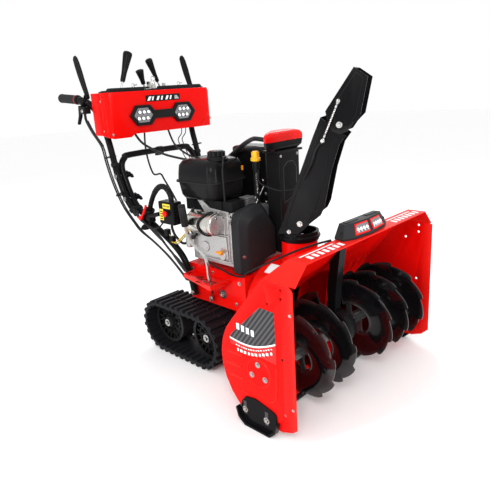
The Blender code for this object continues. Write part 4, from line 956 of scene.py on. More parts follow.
def make_engine():
    """Everything bolted to the engine."""
    make_block()
    make_tank()
    make_belt_cover()
    make_starters()
    dress("muffler_guard", 0.010, 4)
    slots = bmesh.new()
    for i in range(9):
        add_box(slots, (0.1648, 0.485, 0.520 + 0.024 * i), (0.1656, 0.630, 0.530 + 0.024 * i))
    for i in range(4):
        add_box(slots, (0.080, 0.4592, 0.560 + 0.045 * i), (0.145, 0.4600, 0.566 + 0.045 * i))
    piece("guard_slots", slots, DULL, bevel=0.0003)
    stick = bmesh.new()
    add_lathe(stick, [(0, 0.7204), (0.0125, 0.7204), (0.0175, 0.7235), (0.0175, 0.7330), (0.0130, 0.7350),
                      (0.0125, 0.752),
                      (0.0100, 0.756), (0, 0.7564)], (-0.006, 0.464, 0), (0, 0, 1), 28)
    for i in range(6):
        angle = math.radians(60 * i)
        x, y = -0.006 + 0.0115 * math.cos(angle), 0.464 + 0.0115 * math.sin(angle)
        add_rod(stick, (x, y, 0.735), (x, y, 0.753), 0.0024, 8)
    piece("dipstick_cap", stick, YELLOW, "dipstick_body", 34, stands_for=("dipstick",), slot="yellow_plastic")
    tube = bmesh.new()
    add_lathe(tube, [(0, 0.5604), (0.0085, 0.5604), (0.0085, 0.640), (0.0105, 0.690), (0.0120, 0.700), (0.0120, 0.7200),
                     (0, 0.7200)], (-0.006, 0.464, 0), (0, 0, 1), 24)
    piece("dipstick_sleeve", tube, SATIN, stands_for=("dipstick_tube",), slot="black_plastic")


# ---------------------------------------------------------------- chute drive column

def make_column():
    """The drive column with its outlined vent, stepped head and faceted red cap."""
    shaft = bmesh.new()
    add_box(shaft, (0.018, 0.375, 0.395), (0.124, 0.438, 0.757))
    piece("column_body", shaft, GLOSS, bevel=0.0035, segments=3, stands_for=("drive_column",), slot="black_plastic")
    lines = bmesh.new()
    ring = [(0.036, 0.575), (0.036, 0.700), (0.058, 0.716), (0.088, 0.716), (0.104, 0.692), (0.104, 0.600),
            (0.036, 0.575)]
    add_tube(lines, [Vector((x, 0.3745, z)) for x, z in ring], 0.0011, 6)
    piece("vent_outline", lines, DULL)
    slats = bmesh.new()
    for i in range(13):
        z = 0.560 + 0.0105 * i
        points = [(0.041, max(0.582, z)), (0.099, min(0.706, z + 0.052))]
        if points[1][1] - points[0][1] > 0.012:
            shift = points[0][1] - z
            x0 = 0.041 + shift * 1.1
            x1 = 0.099 - (z + 0.052 - points[1][1]) * 1.1
            add_tube(slats, [Vector((x0, 0.3748, points[0][1])), Vector((x1, 0.3748, points[1][1]))], 0.0014, 6)
    piece("vent_slats", slats, SATIN)
    plan = [(-0.046, 0.378), (-0.012, 0.372), (0.142, 0.372), (0.154, 0.384), (0.154, 0.430), (0.140, 0.445),
            (0.040, 0.445), (-0.036, 0.396)]

    def inset(loop, by, z, middle=(0.052, 0.409)):
        """The loop drawn in towards its middle by a share, at a height."""
        return [Vector((x + (middle[0] - x) * by, y + (middle[1] - y) * by, z)) for x, y in loop]

    cap = bmesh.new()
    add_loft(cap, [inset(plan, 0.0, 0.7874), inset(plan, 0.0, 0.8050), inset(plan, 0.10, 0.8150),
                   inset(plan, 0.34, 0.8210)])
    piece("column_cap_shell", cap, SCARLET, bevel=0.0025, segments=3, smooth=14, stands_for=("column_cap",),
          slot="red_plastic")
    under = bmesh.new()
    add_loft(under, [inset(plan, 0.26, 0.7560), inset(plan, 0.05, 0.7690), inset(plan, 0.0, 0.7868)])
    add_box(under, (0.010, 0.3735, 0.7480), (0.142, 0.4460, 0.7560))
    piece("column_head", under, GLOSS, bevel=0.0015, segments=2, smooth=20)
    screws = bmesh.new()
    for x, z in ((0.112, 0.738), (0.024, 0.738), (0.106, 0.560), (0.028, 0.470), (0.108, 0.470)):
        add_bolt(screws, (x, 0.3750, z), (0, -1, 0), 0.0036, 1.4)
    piece("column_screws", screws, ZINC)


# ---------------------------------------------------------------- chute

def chute_point(s, lateral, z):
    """A chute point: s ahead of the chute's axis, lateral towards its near side."""
    yaw = math.radians(25)
    along = Vector((math.sin(yaw), -math.cos(yaw)))
    across = Vector((-math.cos(yaw), -math.sin(yaw)))
    flat = along * s + across * lateral
    return Vector((flat.x, 0.285 + flat.y, z))


def chute_line(points, lateral, radius, bm):
    """A raised line on a chute wall through (s, z) points."""
    add_tube(bm, smooth_path([chute_point(s, lateral, z) for s, z in points], 4), radius, 8)


def make_chute():
    """The ring, lower chute and deflector with their pressings, bolts, label and adjuster."""
    dress("chute_ring", 0.0016, 3)
    dress("chute", 0.0016, 3)
    dress("chute_deflector", 0.0016, 3)
    lines = bmesh.new()
    upper = bmesh.new()
    side_way = chute_point(0, 1, 0) - chute_point(0, 0, 0)
    for side in (1, -1):
        wall = side * 0.0622
        chute_line([(-0.036, 0.505), (-0.026, 0.545), (-0.004, 0.603), (0.036, 0.700), (0.078, 0.806), (0.090, 0.838)],
                   wall, 0.0016, lines)
        chute_line([(0.030, 0.545), (0.056, 0.562), (0.074, 0.600), (0.100, 0.705), (0.124, 0.785), (0.138, 0.803)],
                   wall, 0.0016, lines)
        wall = side * 0.0667
        loop = [(0.196, 0.992), (0.216, 0.974), (0.208, 0.935), (0.196, 0.872), (0.172, 0.836), (0.152, 0.830),
                (0.134, 0.842), (0.134, 0.905), (0.196, 0.992)]
        add_tube(upper, [chute_point(s, wall, z) for s, z in loop], 0.0016, 8)
    piece("chute_pressings", lines, GLOSS, "chute_body")
    piece("deflector_pressings", upper, GLOSS, "deflector")
    bolts = bmesh.new()
    tips = bmesh.new()
    for side in (1, -1):
        out = side_way * side
        add_bolt(bolts, chute_point(0.017, side * 0.062, 0.536), out, 0.0062, 1.5)
        add_bolt(bolts, chute_point(-0.020, side * 0.062, 0.508), out, 0.0045, 1.5)
        add_bolt(tips, chute_point(0.148, side * 0.0705, 0.845), out, 0.0062, 1.5)
    piece("chute_bolts", bolts, ZINC, "chute_body")
    piece("deflector_bolts", tips, ZINC, "deflector")
    label = bmesh.new()
    tape = bmesh.new()
    for bm, start, stop, low, high, lift in ((label, (0.0685, 0.8190), (0.0875, 0.8630), 0.012, 0.056, 1.0),
                                             (tape, (0.0715, 0.826), (0.0845, 0.856), 0.020, 0.048, 1.25)):
        corners = [(start, low), (start, high), (stop, high), (stop, low)]
        lower = [chute_point(s - 0.0004, lateral, z) for (s, z), lateral in corners]
        raised = [chute_point(s - 0.0012 * lift, lateral, z + 0.0005 * lift) for (s, z), lateral in corners]
        add_loft(bm, [lower, raised])
    piece("chute_label", label, WHITE, "chute_body")
    piece("chute_label_band", tape, LABEL_YELLOW, "chute_body")
    make_adjuster(side_way)


def make_adjuster(side_way):
    """The adjuster between the chute's bracket and the deflector's tab: a rod in a ridged sleeve."""
    foot = chute_point(0.098, 0.0730, 0.800)
    head = chute_point(0.147, 0.0770, 0.914)
    rod = bmesh.new()
    add_rod(rod, foot, head, 0.0016, 10)
    for share, size in ((0.03, 0.0042), (0.12, 0.0036), (0.86, 0.0036), (0.96, 0.0044)):
        middle = foot.lerp(head, share)
        way = (head - foot).normalized()
        add_rod(rod, middle - way * 0.005, middle + way * 0.005, size, 10)
    link = piece("adjuster_rod", rod, ZINC, None)
    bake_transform(link)
    sleeve = bmesh.new()
    inner = [foot.lerp(head, 0.18 + 0.62 * i / 30) for i in range(31)]
    add_tube(sleeve, inner, 0.0026, 10, 0.0010)
    braid = piece("adjuster_sleeve", sleeve, ZINC, None)
    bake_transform(braid)
    ends = bmesh.new()
    add_bolt(ends, foot + side_way * 0.004, side_way, 0.0042, 1.4)
    piece("adjuster_foot", ends, ZINC, "chute_body")
    top = bmesh.new()
    add_bolt(top, head + side_way * 0.004, side_way, 0.0042, 1.4)
    piece("adjuster_head", top, ZINC, "deflector")


# ---------------------------------------------------------------- lamp bar

def make_lamp_bar():
    """The lamp bar: a wedge-shaped body with two framed windows of small lamps."""
    base = [(-0.120, 0.030), (-0.112, 0.066), (0.112, 0.066), (0.120, 0.030), (0.080, 0.014), (0.0, 0.006),
            (-0.080, 0.014)]
    crest = [(-0.098, 0.040), (-0.094, 0.062), (0.094, 0.062), (0.098, 0.040), (0.070, 0.030), (0.0, 0.024),
             (-0.070, 0.030)]
    body = bmesh.new()
    add_loft(body, [[Vector((x, y, z)) for x, y in loop] for loop, z in ((base, 0.5274), (base, 0.5340), (crest,
                                                                                                          0.5724))])
    for side in (-1, 1):
        add_lathe(body, [(0.0045, 0), (0.0085, 0), (0.0080, 0.002), (0.0045, 0.002)], (side * 0.1120, 0.040, 0.548),
                  (side, -0.1, 0.55), 24, closed=True)
        add_box(body, (side * 0.055 - 0.030, 0.040, 0.5715), (side * 0.055 + 0.030, 0.056, 0.5745))
    piece("lamp_bar_body", body, COVER, bevel=0.0028, segments=3, smooth=16, stands_for=("work_light_body",),
          slot="grey_plastic")
    frames = bmesh.new()
    panes = bmesh.new()
    domes = bmesh.new()
    for side in (-1, 1):
        foot_a, foot_b = Vector((side * 0.006, 0.0068, 0.5340)), Vector((side * 0.080, 0.0142, 0.5340))
        head_a, head_b = Vector((side * 0.006, 0.0245, 0.5724)), Vector((side * 0.070, 0.0300, 0.5724))

        def spot(u, v, lift):
            """A point on the sloping front, u across and v up it, lifted off its surface."""
            low, high = foot_a.lerp(foot_b, u), head_a.lerp(head_b, u)
            out = (foot_b - foot_a).cross(head_a - foot_a).normalized()
            out = out if out.y < 0 else -out
            return low.lerp(high, v) + out * lift

        outer = [spot(u, v, 0.0) for u, v in ((0.03, 0.08), (0.99, 0.08), (0.93, 0.88), (0.03, 0.90))]
        outer_top = [spot(u, v, 0.0026) for u, v in ((0.04, 0.10), (0.98, 0.10), (0.92, 0.86), (0.04, 0.88))]
        add_loft(frames, [outer, outer_top])
        pane = [(0.09, 0.20), (0.92, 0.20), (0.87, 0.77), (0.09, 0.79)]
        add_loft(panes, [[spot(u, v, 0.0022) for u, v in pane], [spot(u, v, 0.0032) for u, v in pane]])
        for i in range(4):
            u = 0.19 + 0.205 * i
            middle = spot(u, 0.46, 0.0030)
            out = spot(u, 0.46, 1.0) - spot(u, 0.46, 0.0)
            add_lathe(domes, [(0, 0), (0.0050, 0), (0.0044, 0.0016), (0.0025, 0.0026), (0, 0.0030)], middle, out, 16)
            # Painted glint: a thin slanted streak in the glowing dome white on the pane below each lamp, standing in
            # for a reflection.
            streak = ((-0.07, 0.24), (-0.05, 0.24), (0.02, 0.36), (0.0, 0.36))
            add_loft(domes, [[spot(u + a, v, lift) for a, v in streak] for lift in (0.0031, 0.0040)])
    piece("lamp_frames", frames, SCARLET, bevel=0.0008)
    piece("lamp_panes", panes, BOWL, stands_for=("work_light_lens",), slot="lens")
    piece("lamp_domes", domes, LED)
    clip = bmesh.new()
    add_box(clip, (-0.060, 0.060, 0.5272), (-0.020, 0.078, 0.5320))
    add_box(clip, (-0.140, 0.066, 0.5150), (-0.105, 0.082, 0.5195))
    piece("lamp_clip", clip, SATIN, bevel=0.001)


# ---------------------------------------------------------------- handles

HANDLE_ROUTE = ((0.2145, 0.915, 0.522), (0.2145, 0.955, 0.556), (0.2145, 0.985, 0.600), (0.2145, 1.003, 0.640),
                (0.2145, 1.020, 0.680), (0.2145, 1.034, 0.740), (0.2145, 1.050, 0.800), (0.220, 1.060, 0.850),
                (0.233, 1.064, 0.900), (0.262, 1.069, 0.942), (0.283, 1.088, 0.956), (0.285, 1.098, 0.9597),
                (0.285, 1.108, 0.9605))
FRAME_ROUTE = ((0.1745, 0.652, 0.235), (0.1745, 0.660, 0.275), (0.1755, 0.675, 0.322), (0.1765, 0.697, 0.370),
               (0.178, 0.738, 0.410), (0.181, 0.800, 0.450), (0.185, 0.858, 0.484), (0.1885, 0.915, 0.522),
               (0.1885, 0.955, 0.556), (0.1885, 0.985, 0.600), (0.1885, 1.003, 0.640), (0.1885, 1.019, 0.680),
               (0.183, 1.026, 0.708), (0.165, 1.030, 0.728), (0.133, 1.031, 0.738))


def sided(route, side):
    """A route given for the left side, put on the asked side."""
    return [(x * side, y, z) for x, y, z in route]


def make_tubes():
    """The upper handlebar tubes, the lower frame and what clamps them together."""
    frame_tube = bmesh.new()
    loop = sided(FRAME_ROUTE, -1) + sided(FRAME_ROUTE, 1)[::-1]
    add_tube(frame_tube, smooth_path(loop, 4), 0.0125, 14)
    piece("frame_tube", frame_tube, GLOSS, smooth=50, stands_for=("handle_frame",), slot="black_paint")
    clamps = bmesh.new()
    fixings = bmesh.new()
    knobs = bmesh.new()
    for side, hand in SIDES:
        tube = bmesh.new()
        add_tube(tube, smooth_path(sided(HANDLE_ROUTE, side), 4), 0.0125, 14)
        piece(f"handlebar_tube_{hand}", tube, GLOSS, smooth=50, stands_for=(f"handlebar_{hand}",),
              slot="black_paint")
        for y, z in ((1.0135, 0.664), (0.9700, 0.578)):
            add_rod(fixings, (side * 0.160, y, z), (side * 0.232, y, z), 0.0040, 12)
            add_bolt(fixings, (side * 0.2268, y, z), (side, 0, 0), 0.0062, 1.5)
            add_lathe(knobs, [(0, 0), (0.0125, 0), (0.0110, 0.014), (0.0070, 0.018), (0, 0.018)], (side * 0.175, y, z),
                      (-side, 0, 0), 24)
            wing = [(y - 0.026, z - 0.010), (y - 0.018, z - 0.013), (y, z - 0.008), (y + 0.018, z - 0.003),
                    (y + 0.026, z + 0.008), (y + 0.022, z + 0.014), (y, z + 0.008), (y - 0.020, z + 0.001)]
            add_prism(knobs, wing, "x", side * 0.158, side * 0.166)
        for (y, z), (dy, dz) in (((0.935, 0.5375), (0.76, 0.65)), ((1.0270, 0.7080), (0.24, 0.97))):
            along = Vector((0, dy, dz)).normalized()
            across = Vector((0, -along.z, along.y))
            joins_frame = z < 0.7
            bolt_x, end_x = (0.200, 0.232) if joins_frame else (0.2145, 0.230)
            for x in ((0.1885, 0.2145) if joins_frame else (0.2145,)):
                middle = Vector((side * x, y, z))
                add_rod(clamps, middle - along * 0.009, middle + along * 0.009, 0.0158, 20)
            add_bolt(fixings, Vector((side * (bolt_x + 0.002), y, z)) - across * 0.0165, -across, 0.0040, 1.4)
            add_rod(clamps, Vector((side * bolt_x, y, z)), Vector((side * end_x, y, z)), 0.0070, 12)
    piece("tube_clamps", clamps, SATIN, bevel=0.0010)
    piece("tube_bolts", fixings, ZINC)
    piece("wing_knobs", knobs, GLOSS, bevel=0.0016, segments=3)


def make_grips():
    """Ribbed grips, the control blocks beside them, triggers and clutch levers."""
    blocks = bmesh.new()
    bolts = bmesh.new()
    accents = bmesh.new()
    for side, hand in SIDES:
        start, stop = Vector((side * 0.285, 1.1092, 0.9606)), Vector((side * 0.285, 1.236, 0.970))
        way = (stop - start).normalized()
        length = (stop - start).length
        profile = [(0, 0), (0.0178, 0), (0.0178, 0.006), (0.0160, 0.010)]
        for i in range(9):
            here = 0.016 + 0.0112 * i
            profile += [(0.0158, here), (0.0168, here + 0.0020), (0.0168, here + 0.0070), (0.0158, here + 0.0090)]
        profile += [(0.0160, length - 0.010), (0.0174, length - 0.008), (0.0174, length - 0.002), (0.0150, length),
                    (0, length)]
        grip = bmesh.new()
        add_lathe(grip, profile, start, way, 32)
        piece(f"grip_ribbed_{hand}", grip, GRIP, smooth=30, stands_for=(f"grip_{hand}",), slot="rubber")
        add_box(blocks, (side * 0.2670, 1.060, 0.9080), (side * 0.2950, 1.098, 0.9350))
        add_rod(blocks, (side * 0.2800, 1.0700, 0.9450), (side * 0.2800, 1.1050, 0.9590), 0.0155, 20)
        add_lathe(blocks, [(0, 0), (0.0095, 0), (0.0095, 0.010), (0, 0.010)], (side * 0.2640, 1.080, 0.969),
                  (side, 0, 0), 20)
        add_bolt(bolts, (side * 0.2952, 1.074, 0.9190), (side, 0, 0), 0.0052, 1.4)
        add_rod(bolts, (side * 0.2560, 1.080, 0.969), (side * 0.2650, 1.080, 0.969), 0.0034, 12)
        add_lathe(accents, [(0.0150, 0), (0.0181, 0), (0.0181, 0.0022), (0.0150, 0.0022)], start + way * 0.0065, way,
                  32,
                  closed=True)
        make_clutch(side, hand)
        dress(f"steering_trigger_{hand}", 0.0030, 4, GLOSS)
    piece("grip_blocks", blocks, GLOSS, bevel=0.0022, segments=3)
    piece("grip_block_bolts", bolts, ZINC)
    piece("grip_bands", accents, SCARLET)


def make_clutch(side, hand):
    """A flat clutch lever with a rounded tip and a rolled stiffening rib."""
    pivot = (1.080, 0.969)
    shape = ((-0.012, -0.004), (-0.009, 0.012), (0.002, 0.044), (0.015, 0.090), (0.029, 0.128), (0.039, 0.146),
             (0.050, 0.153), (0.062, 0.150), (0.068, 0.139), (0.062, 0.114), (0.049, 0.076), (0.031, 0.034),
             (0.017, 0.004), (0.008, -0.007), (-0.005, -0.009))
    lever = bmesh.new()
    outline = [(pivot[0] + y, pivot[1] + z) for y, z in shape]
    add_prism(lever, outline, "x", side * 0.2578, side * 0.2632)
    piece(f"clutch_blade_{hand}", lever, GLOSS, f"clutch_{hand}", bevel=0.0020, segments=4, smooth=50,
          stands_for=(f"clutch_lever_{hand}",), slot="black_paint")
    rib = bmesh.new()
    spine = [(pivot[0] + y, pivot[1] + z) for y, z in ((0.004, 0.010), (0.020, 0.048), (0.036, 0.090), (0.050, 0.130))]
    add_tube(rib, [Vector((side * 0.2634, y, z)) for y, z in spine], 0.0016, 8)
    piece(f"clutch_rib_{hand}", rib, GLOSS, f"clutch_{hand}")


def make_loop_handle():
    """The hand loop with its ribbed grip, round hub and red release lever."""
    route = [(-0.206, 0.838, 0.548), (-0.206, 0.822, 0.580), (-0.206, 0.796, 0.616), (-0.206, 0.764, 0.640),
             (-0.206, 0.730, 0.642), (-0.206, 0.706, 0.622), (-0.206, 0.7005, 0.603), (-0.206, 0.7005, 0.5912)]
    loop = bmesh.new()
    add_tube(loop, smooth_path(route, 8), 0.0095, 14)
    piece("loop_tube", loop, GLOSS, smooth=50, stands_for=("loop_handle",), slot="black_plastic")
    ribs = bmesh.new()
    path = smooth_path(route, 8)
    for i in range(16, len(path) - 8, 2):
        way = (path[i + 1] - path[i]).normalized()
        add_rod(ribs, path[i] - way * 0.0014, path[i] + way * 0.0014, 0.0108, 14)
    piece("loop_ribs", ribs, GRIP, bevel=0.0005)
    hub = bmesh.new()
    add_lathe(hub, [(0, 0), (0.026, 0), (0.027, 0.003), (0.027, 0.011), (0.024, 0.014), (0.010, 0.015), (0, 0.015)],
              (-0.2055, 0.852, 0.518), (-1, 0, 0), 36)
    add_lathe(hub, [(0, 0), (0.019, 0), (0.019, 0.008), (0, 0.008)], (-0.206, 0.840, 0.542), (0, -0.45, 0.9), 20)
    add_box(hub, (-0.214, 0.828, 0.500), (-0.190, 0.846, 0.520))
    piece("release_hub", hub, GLOSS, bevel=0.0014, segments=3)
    lever = bmesh.new()
    add_tube(lever, smooth_path([(-0.232, 0.870, 0.516), (-0.232, 0.852, 0.530), (-0.232, 0.832, 0.556),
                                 (-0.232, 0.824, 0.570)], 5), 0.0045, 12)
    add_rod(lever, (-0.2215, 0.870, 0.516), (-0.2365, 0.870, 0.516), 0.0085, 20)
    piece("release_blade", lever, SCARLET, "release", 50, stands_for=("release_lever",), slot="red_plastic")


def make_handles():
    """Tubes, grips, levers and the hand loop."""
    make_tubes()
    make_grips()
    make_loop_handle()
    grip = bmesh.new()
    start, stop = Vector((-0.241, 0.5906, 0.5226)), Vector((-0.241, 0.602, 0.600))
    length = (stop - start).length
    add_lathe(grip, [(0, 0), (0.0100, 0), (0.0115, 0.004), (0.0125, 0.030), (0.0130, length - 0.012),
                     (0.0110, length - 0.003), (0.0060, length), (0, length)], start, stop - start, 24)
    piece("tilt_grip", grip, GRIP, "tilt_lever_body", 50, stands_for=("tilt_lever_grip",), slot="rubber")
    bar = bmesh.new()
    band = Vector((0.012, 1.031, 0.738))
    add_rod(bar, band - Vector((0.016, 0, 0)), band + Vector((0.016, 0, 0)), 0.0162, 24)
    add_box(bar, (0.000, 1.038, 0.716), (0.024, 1.052, 0.738))
    piece("bar_clamp", bar, SATIN, bevel=0.0012)


# ---------------------------------------------------------------- dash

def make_dash_shell():
    """The dash moulding: a shallow red shell, deeper at the operator's right, with rounded ends and a rolled top."""
    front, back, top, bottom = 0.958, 1.040, 0.980, 0.811
    near = [(-0.236 - 0.036 * math.cos(math.radians(a)), 0.998 - 0.036 * math.sin(math.radians(a)))
            for a in range(0, 85, 12)]
    far = [(0.233 + 0.034 * math.sin(math.radians(a)), 0.998 - 0.036 * math.cos(math.radians(a)))
           for a in range(6, 91, 12)]
    plan = [(-0.272, back)] + near + [(-0.180, front), (0.180, front)] + far + [(0.267, back)]
    shell = bmesh.new()
    add_prism(shell, plan, "z", bottom, top)
    body = piece("dash_shell", shell, RED, None, 26, slot="red_paint")
    hollow = bmesh.new()
    inner = [(x * 0.982, y + 0.0045 if y < back else y + 0.02) for x, y in plan]
    add_prism(hollow, inner, "z", bottom - 0.02, top - 0.006)
    cut(body, hollow)
    notch = bmesh.new()
    add_prism(notch, [(-0.166, bottom - 0.02), (-0.166, bottom), (-0.148, bottom + 0.011), (0.310, bottom + 0.009),
                      (0.310, bottom - 0.02)], "y", 0.90, 1.10)
    cut(body, notch)
    heel = bmesh.new()
    add_prism(heel, [(-0.300, bottom - 0.02), (-0.300, bottom + 0.022), (-0.272, bottom + 0.017),
                     (-0.258, bottom + 0.006),
                     (-0.236, bottom - 0.001), (-0.225, bottom - 0.02)], "y", 0.90, 1.10)
    cut(body, heel)
    corner = bmesh.new()
    add_prism(corner, [(0.240, top + 0.02), (0.240, top), (0.272, top - 0.030), (0.310, top - 0.030),
                       (0.310, top + 0.02)],
              "y", 0.90, 1.10)
    cut(body, corner)
    settle(body, "dash_panel", 0.0060, 4, smooth=True)
    ribs = bmesh.new()
    add_tube(ribs, [Vector((0.196, 0.9572, 0.826)), Vector((0.216, 0.9600, 0.848)), Vector((0.2440, 0.9650, 0.880))],
             0.0024, 8)
    piece("dash_creases", ribs, RED, smooth=60)
    badge = bmesh.new()
    add_box(badge, (-0.084, 0.9560, 0.938), (0.086, 0.9578, 0.962))
    piece("dash_badge", badge, SATIN, bevel=0.0006)
    marks = bmesh.new()
    for i, wide in enumerate((0.022, 0.012, 0.018, 0.012, 0.018, 0.012)):
        left = -0.078 + 0.0220 * i
        add_prism(marks, [(left, 0.9415), (left + wide * 0.55, 0.9415), (left + wide, 0.9565),
                          (left + wide * 0.45, 0.9565)], "y", 0.9553, 0.9561)
    for i in range(4):
        add_box(marks, (0.058, 0.9553, 0.9425 + 0.0036 * i), (0.080 - 0.003 * i, 0.9561, 0.9440 + 0.0036 * i))
    piece("dash_badge_marks", marks, WHITE)
    screws = bmesh.new()
    for x, z in ((-0.2580, 0.842), (-0.2580, 0.950)):
        add_bolt(screws, (-0.2662, 0.985, z), (-1, 0, 0), 0.0038, 1.3)
    for x, z in ((0.247, 0.852), (-0.247, 0.828)):
        add_bolt(screws, (x, 0.9575, z), (0, -1, 0), 0.0038, 1.3)
    piece("dash_screws", screws, ZINC)


def hexagon(x, half_x, half_z, z=LAMP_Z):
    """A stretched hexagon with points to the left and right."""
    return [(x - half_x, z), (x - half_x * 0.55, z - half_z), (x + half_x * 0.55, z - half_z), (x + half_x, z),
            (x + half_x * 0.55, z + half_z), (x - half_x * 0.55, z + half_z)]


def make_headlights():
    """A black bar with two hexagonal windows, each a bright bowl holding six lamps in cups."""
    bar = bmesh.new()
    outline = []
    for x, z in ((-0.162, 0.0), (-0.132, -0.0385), (-0.066, -0.0385), (-0.046, -0.0160), (0.046, -0.0160),
                 (0.066, -0.0385),
                 (0.132, -0.0385), (0.162, 0.0), (0.132, 0.0385), (0.066, 0.0385), (0.046, 0.0160), (-0.046, 0.0160),
                 (-0.066, 0.0385), (-0.132, 0.0385)):
        outline.append((x - 0.006, LAMP_Z + z))
    add_prism(bar, outline, "y", 0.9460, 0.9577)
    body = piece("headlight_bar", bar, SATIN, None, 22, slot="black_plastic")
    for x in (-0.105, 0.093):
        tool = bmesh.new()
        add_prism(tool, hexagon(x, 0.0460, 0.0275), "y", 0.930, 0.9535)
        cut(body, tool)
    settle(body, "headlight_bezel", 0.0026, 3)
    bowls = bmesh.new()
    lamps = bmesh.new()
    cups = bmesh.new()
    for x in (-0.105, 0.093):
        add_prism(bowls, hexagon(x, 0.0455, 0.0270), "y", 0.9515, 0.9533)
        for row in (-1, 1):
            for i in (-1, 0, 1):
                middle = (x + i * 0.0205 + row * 0.003, 0.9515, LAMP_Z + row * 0.0118)
                add_lathe(cups, [(0.0062, 0), (0.0090, 0.0026), (0.0082, 0.0030), (0.0056, 0.0006)], middle,
                          (0, -1, 0), 18,
                          closed=True)
                add_lathe(lamps, [(0, 0), (0.0066, 0), (0.0056, 0.0022), (0.0030, 0.0034), (0, 0.0038)], middle,
                          (0, -1, 0), 18)
    piece("headlight_bowls", bowls, BOWL, stands_for=("headlight_lens",), slot="lens")
    piece("headlight_cups", cups, BOWL)
    piece("headlight_lamps", lamps, LED)


def make_knob(name, start, stop, radius, body, node, slot):
    """A lever knob that widens upwards to a rounded top, on a bright stem."""
    way = stop - start
    length = way.length
    head = length * 0.80
    knob = bmesh.new()
    low = length - head
    profile = [(0, low), (radius * 0.46, low), (radius * 0.54, low + head * 0.05), (radius * 0.58, low + head * 0.30),
               (radius * 0.80, low + head * 0.62), (radius * 0.98, low + head * 0.86), (radius, low + head * 0.93),
               (radius * 0.86, length - 0.003), (radius * 0.5, length - 0.0005), (0, length)]
    add_lathe(knob, profile, start, way, 28)
    piece(f"{name}_knob", knob, GLOSS, body, 50, stands_for=(node,), slot=slot)
    stem = bmesh.new()
    add_lathe(stem, [(0, 0.001), (0.0034, 0.001), (0.0034, low + 0.004), (0, low + 0.004)], start, way, 16)
    piece(f"{name}_stem", stem, ZINC, body)
    boot = bmesh.new()
    add_lathe(boot, [(0.0082, -0.0020), (0.0140, -0.0020), (0.0120, 0.0040), (0.0096, 0.0055), (0.0082, 0.0055)],
              start, (0, 0, 1), 24, closed=True)
    piece(f"{name}_collar", boot, SATIN, "machine", 40)


def make_dash():
    """The dash shell, its deck, headlights, levers, cable brackets and stubs."""
    make_dash_shell()
    make_headlights()
    dress("dash_deck", 0.0015, 3, GLOSS)
    deck = bmesh.new()
    for low, high in (((-0.226, 0.972), (-0.070, 1.052)), ((0.010, 0.972), (0.226, 1.052))):
        add_loft(deck, [rounded_plan((low[0] + t, low[1] + t), (high[0] - t, high[1] - t), z, 0.012)
                        for t, z in ((0.0, 0.9835), (0.0, 0.9862), (0.0015, 0.9876))])
    add_loft(deck, [rounded_plan((-0.066, 0.976), (0.006, 1.048), z, 0.008) for z in (0.9840, 0.9855)])
    for low, high in ((-0.226, -0.060), (0.006, 0.226)):
        add_loft(deck, [rounded_plan((low + t, 0.972 + t), (high - t, 1.010 - t), z, 0.010)
                        for t, z in ((0.0, 0.9860), (0.0, 0.9900), (0.004, 0.9950))])
    slots = bmesh.new()
    for low, high in (((-0.182, 1.024), (-0.086, 1.036)), ((0.020, 1.024), (0.092, 1.036))):
        add_loft(slots, [rounded_plan(low, high, z, 0.005) for z in (0.9874, 0.9884)])
    piece("deck_plates", deck, GLOSS, smooth=30)
    piece("deck_slots", slots, RUBBER)
    stubs = bmesh.new()
    for x in (-0.112, 0.112):
        add_lathe(stubs, [(0, 0), (0.0080, 0), (0.0080, 0.006), (0.0050, 0.007), (0.0050, 0.020), (0.0035, 0.022),
                          (0, 0.022)], (x, 0.990, 0.9870), (0, 0, 1), 20)
        add_rod(stubs, (x, 0.990, 1.002), (x + 0.018, 0.990, 1.004), 0.0022, 10)
    add_lathe(stubs, [(0, 0), (0.0150, 0), (0.0100, 0.008), (0.0060, 0.020), (0.0042, 0.030), (0, 0.030)],
              (-0.008, 1.000, 0.9870), (0, 0, 1), 24)
    eye = [Vector((-0.008 + 0.0085 * math.cos(math.radians(a)), 1.000, 1.0245 + 0.0085 * math.sin(math.radians(a))))
           for a in range(0, 361, 20)]
    add_tube(stubs, eye, 0.0020, 8)
    add_box(stubs, (-0.026, 0.998, 0.9865), (-0.021, 1.020, 1.014))
    add_box(stubs, (0.046, 0.996, 0.9865), (0.050, 1.016, 1.006))
    piece("deck_fittings", stubs, ZINC, bevel=0.0005)
    make_knob("joystick", Vector((-0.142, 1.03, 0.99)), Vector((-0.088, 1.032, 1.128)), 0.0180, "joystick",
              "chute_joystick", "black_plastic")
    make_knob("speed", Vector((0.046, 1.03, 0.99)), Vector((0.002, 1.032, 1.102)), 0.0150, "speed_stick", "speed_lever",
              "black_plastic")
    make_knob("deflector_stick", Vector((-0.030, 1.03, 0.99)), Vector((-0.048, 1.03, 1.062)), 0.0165, "deflector_stick",
              "deflector_lever", "black_plastic")


# ---------------------------------------------------------------- cables

def cable(name, route, radius, finish=None, ridge=0.0, per_span=8, steps=10):
    """A fixed cable or hose through machine points."""
    bm = bmesh.new()
    add_tube(bm, smooth_path(route, per_span), radius, steps, ridge)
    return piece(name, bm, finish or HOSE, smooth=60)


def make_chute_cable():
    """The deflector's cable, from the chute's bracket round the drive column to the front of the dipstick."""
    foot = chute_point(0.098, 0.0730, 0.800)
    route = [foot, (-0.040, 0.182, 0.772), (-0.050, 0.193, 0.729), (-0.036, 0.230, 0.676), (-0.018, 0.270, 0.646),
             (-0.018, 0.340, 0.630), (-0.025, 0.400, 0.640), (-0.025, 0.436, 0.655), (-0.010, 0.452, 0.690)]
    bm = bmesh.new()
    add_tube(bm, smooth_path([tuple(p) for p in route], 8), 0.0026, 10)
    link = piece("deflector_cable", bm, HOSE, None, 60)
    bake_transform(link)


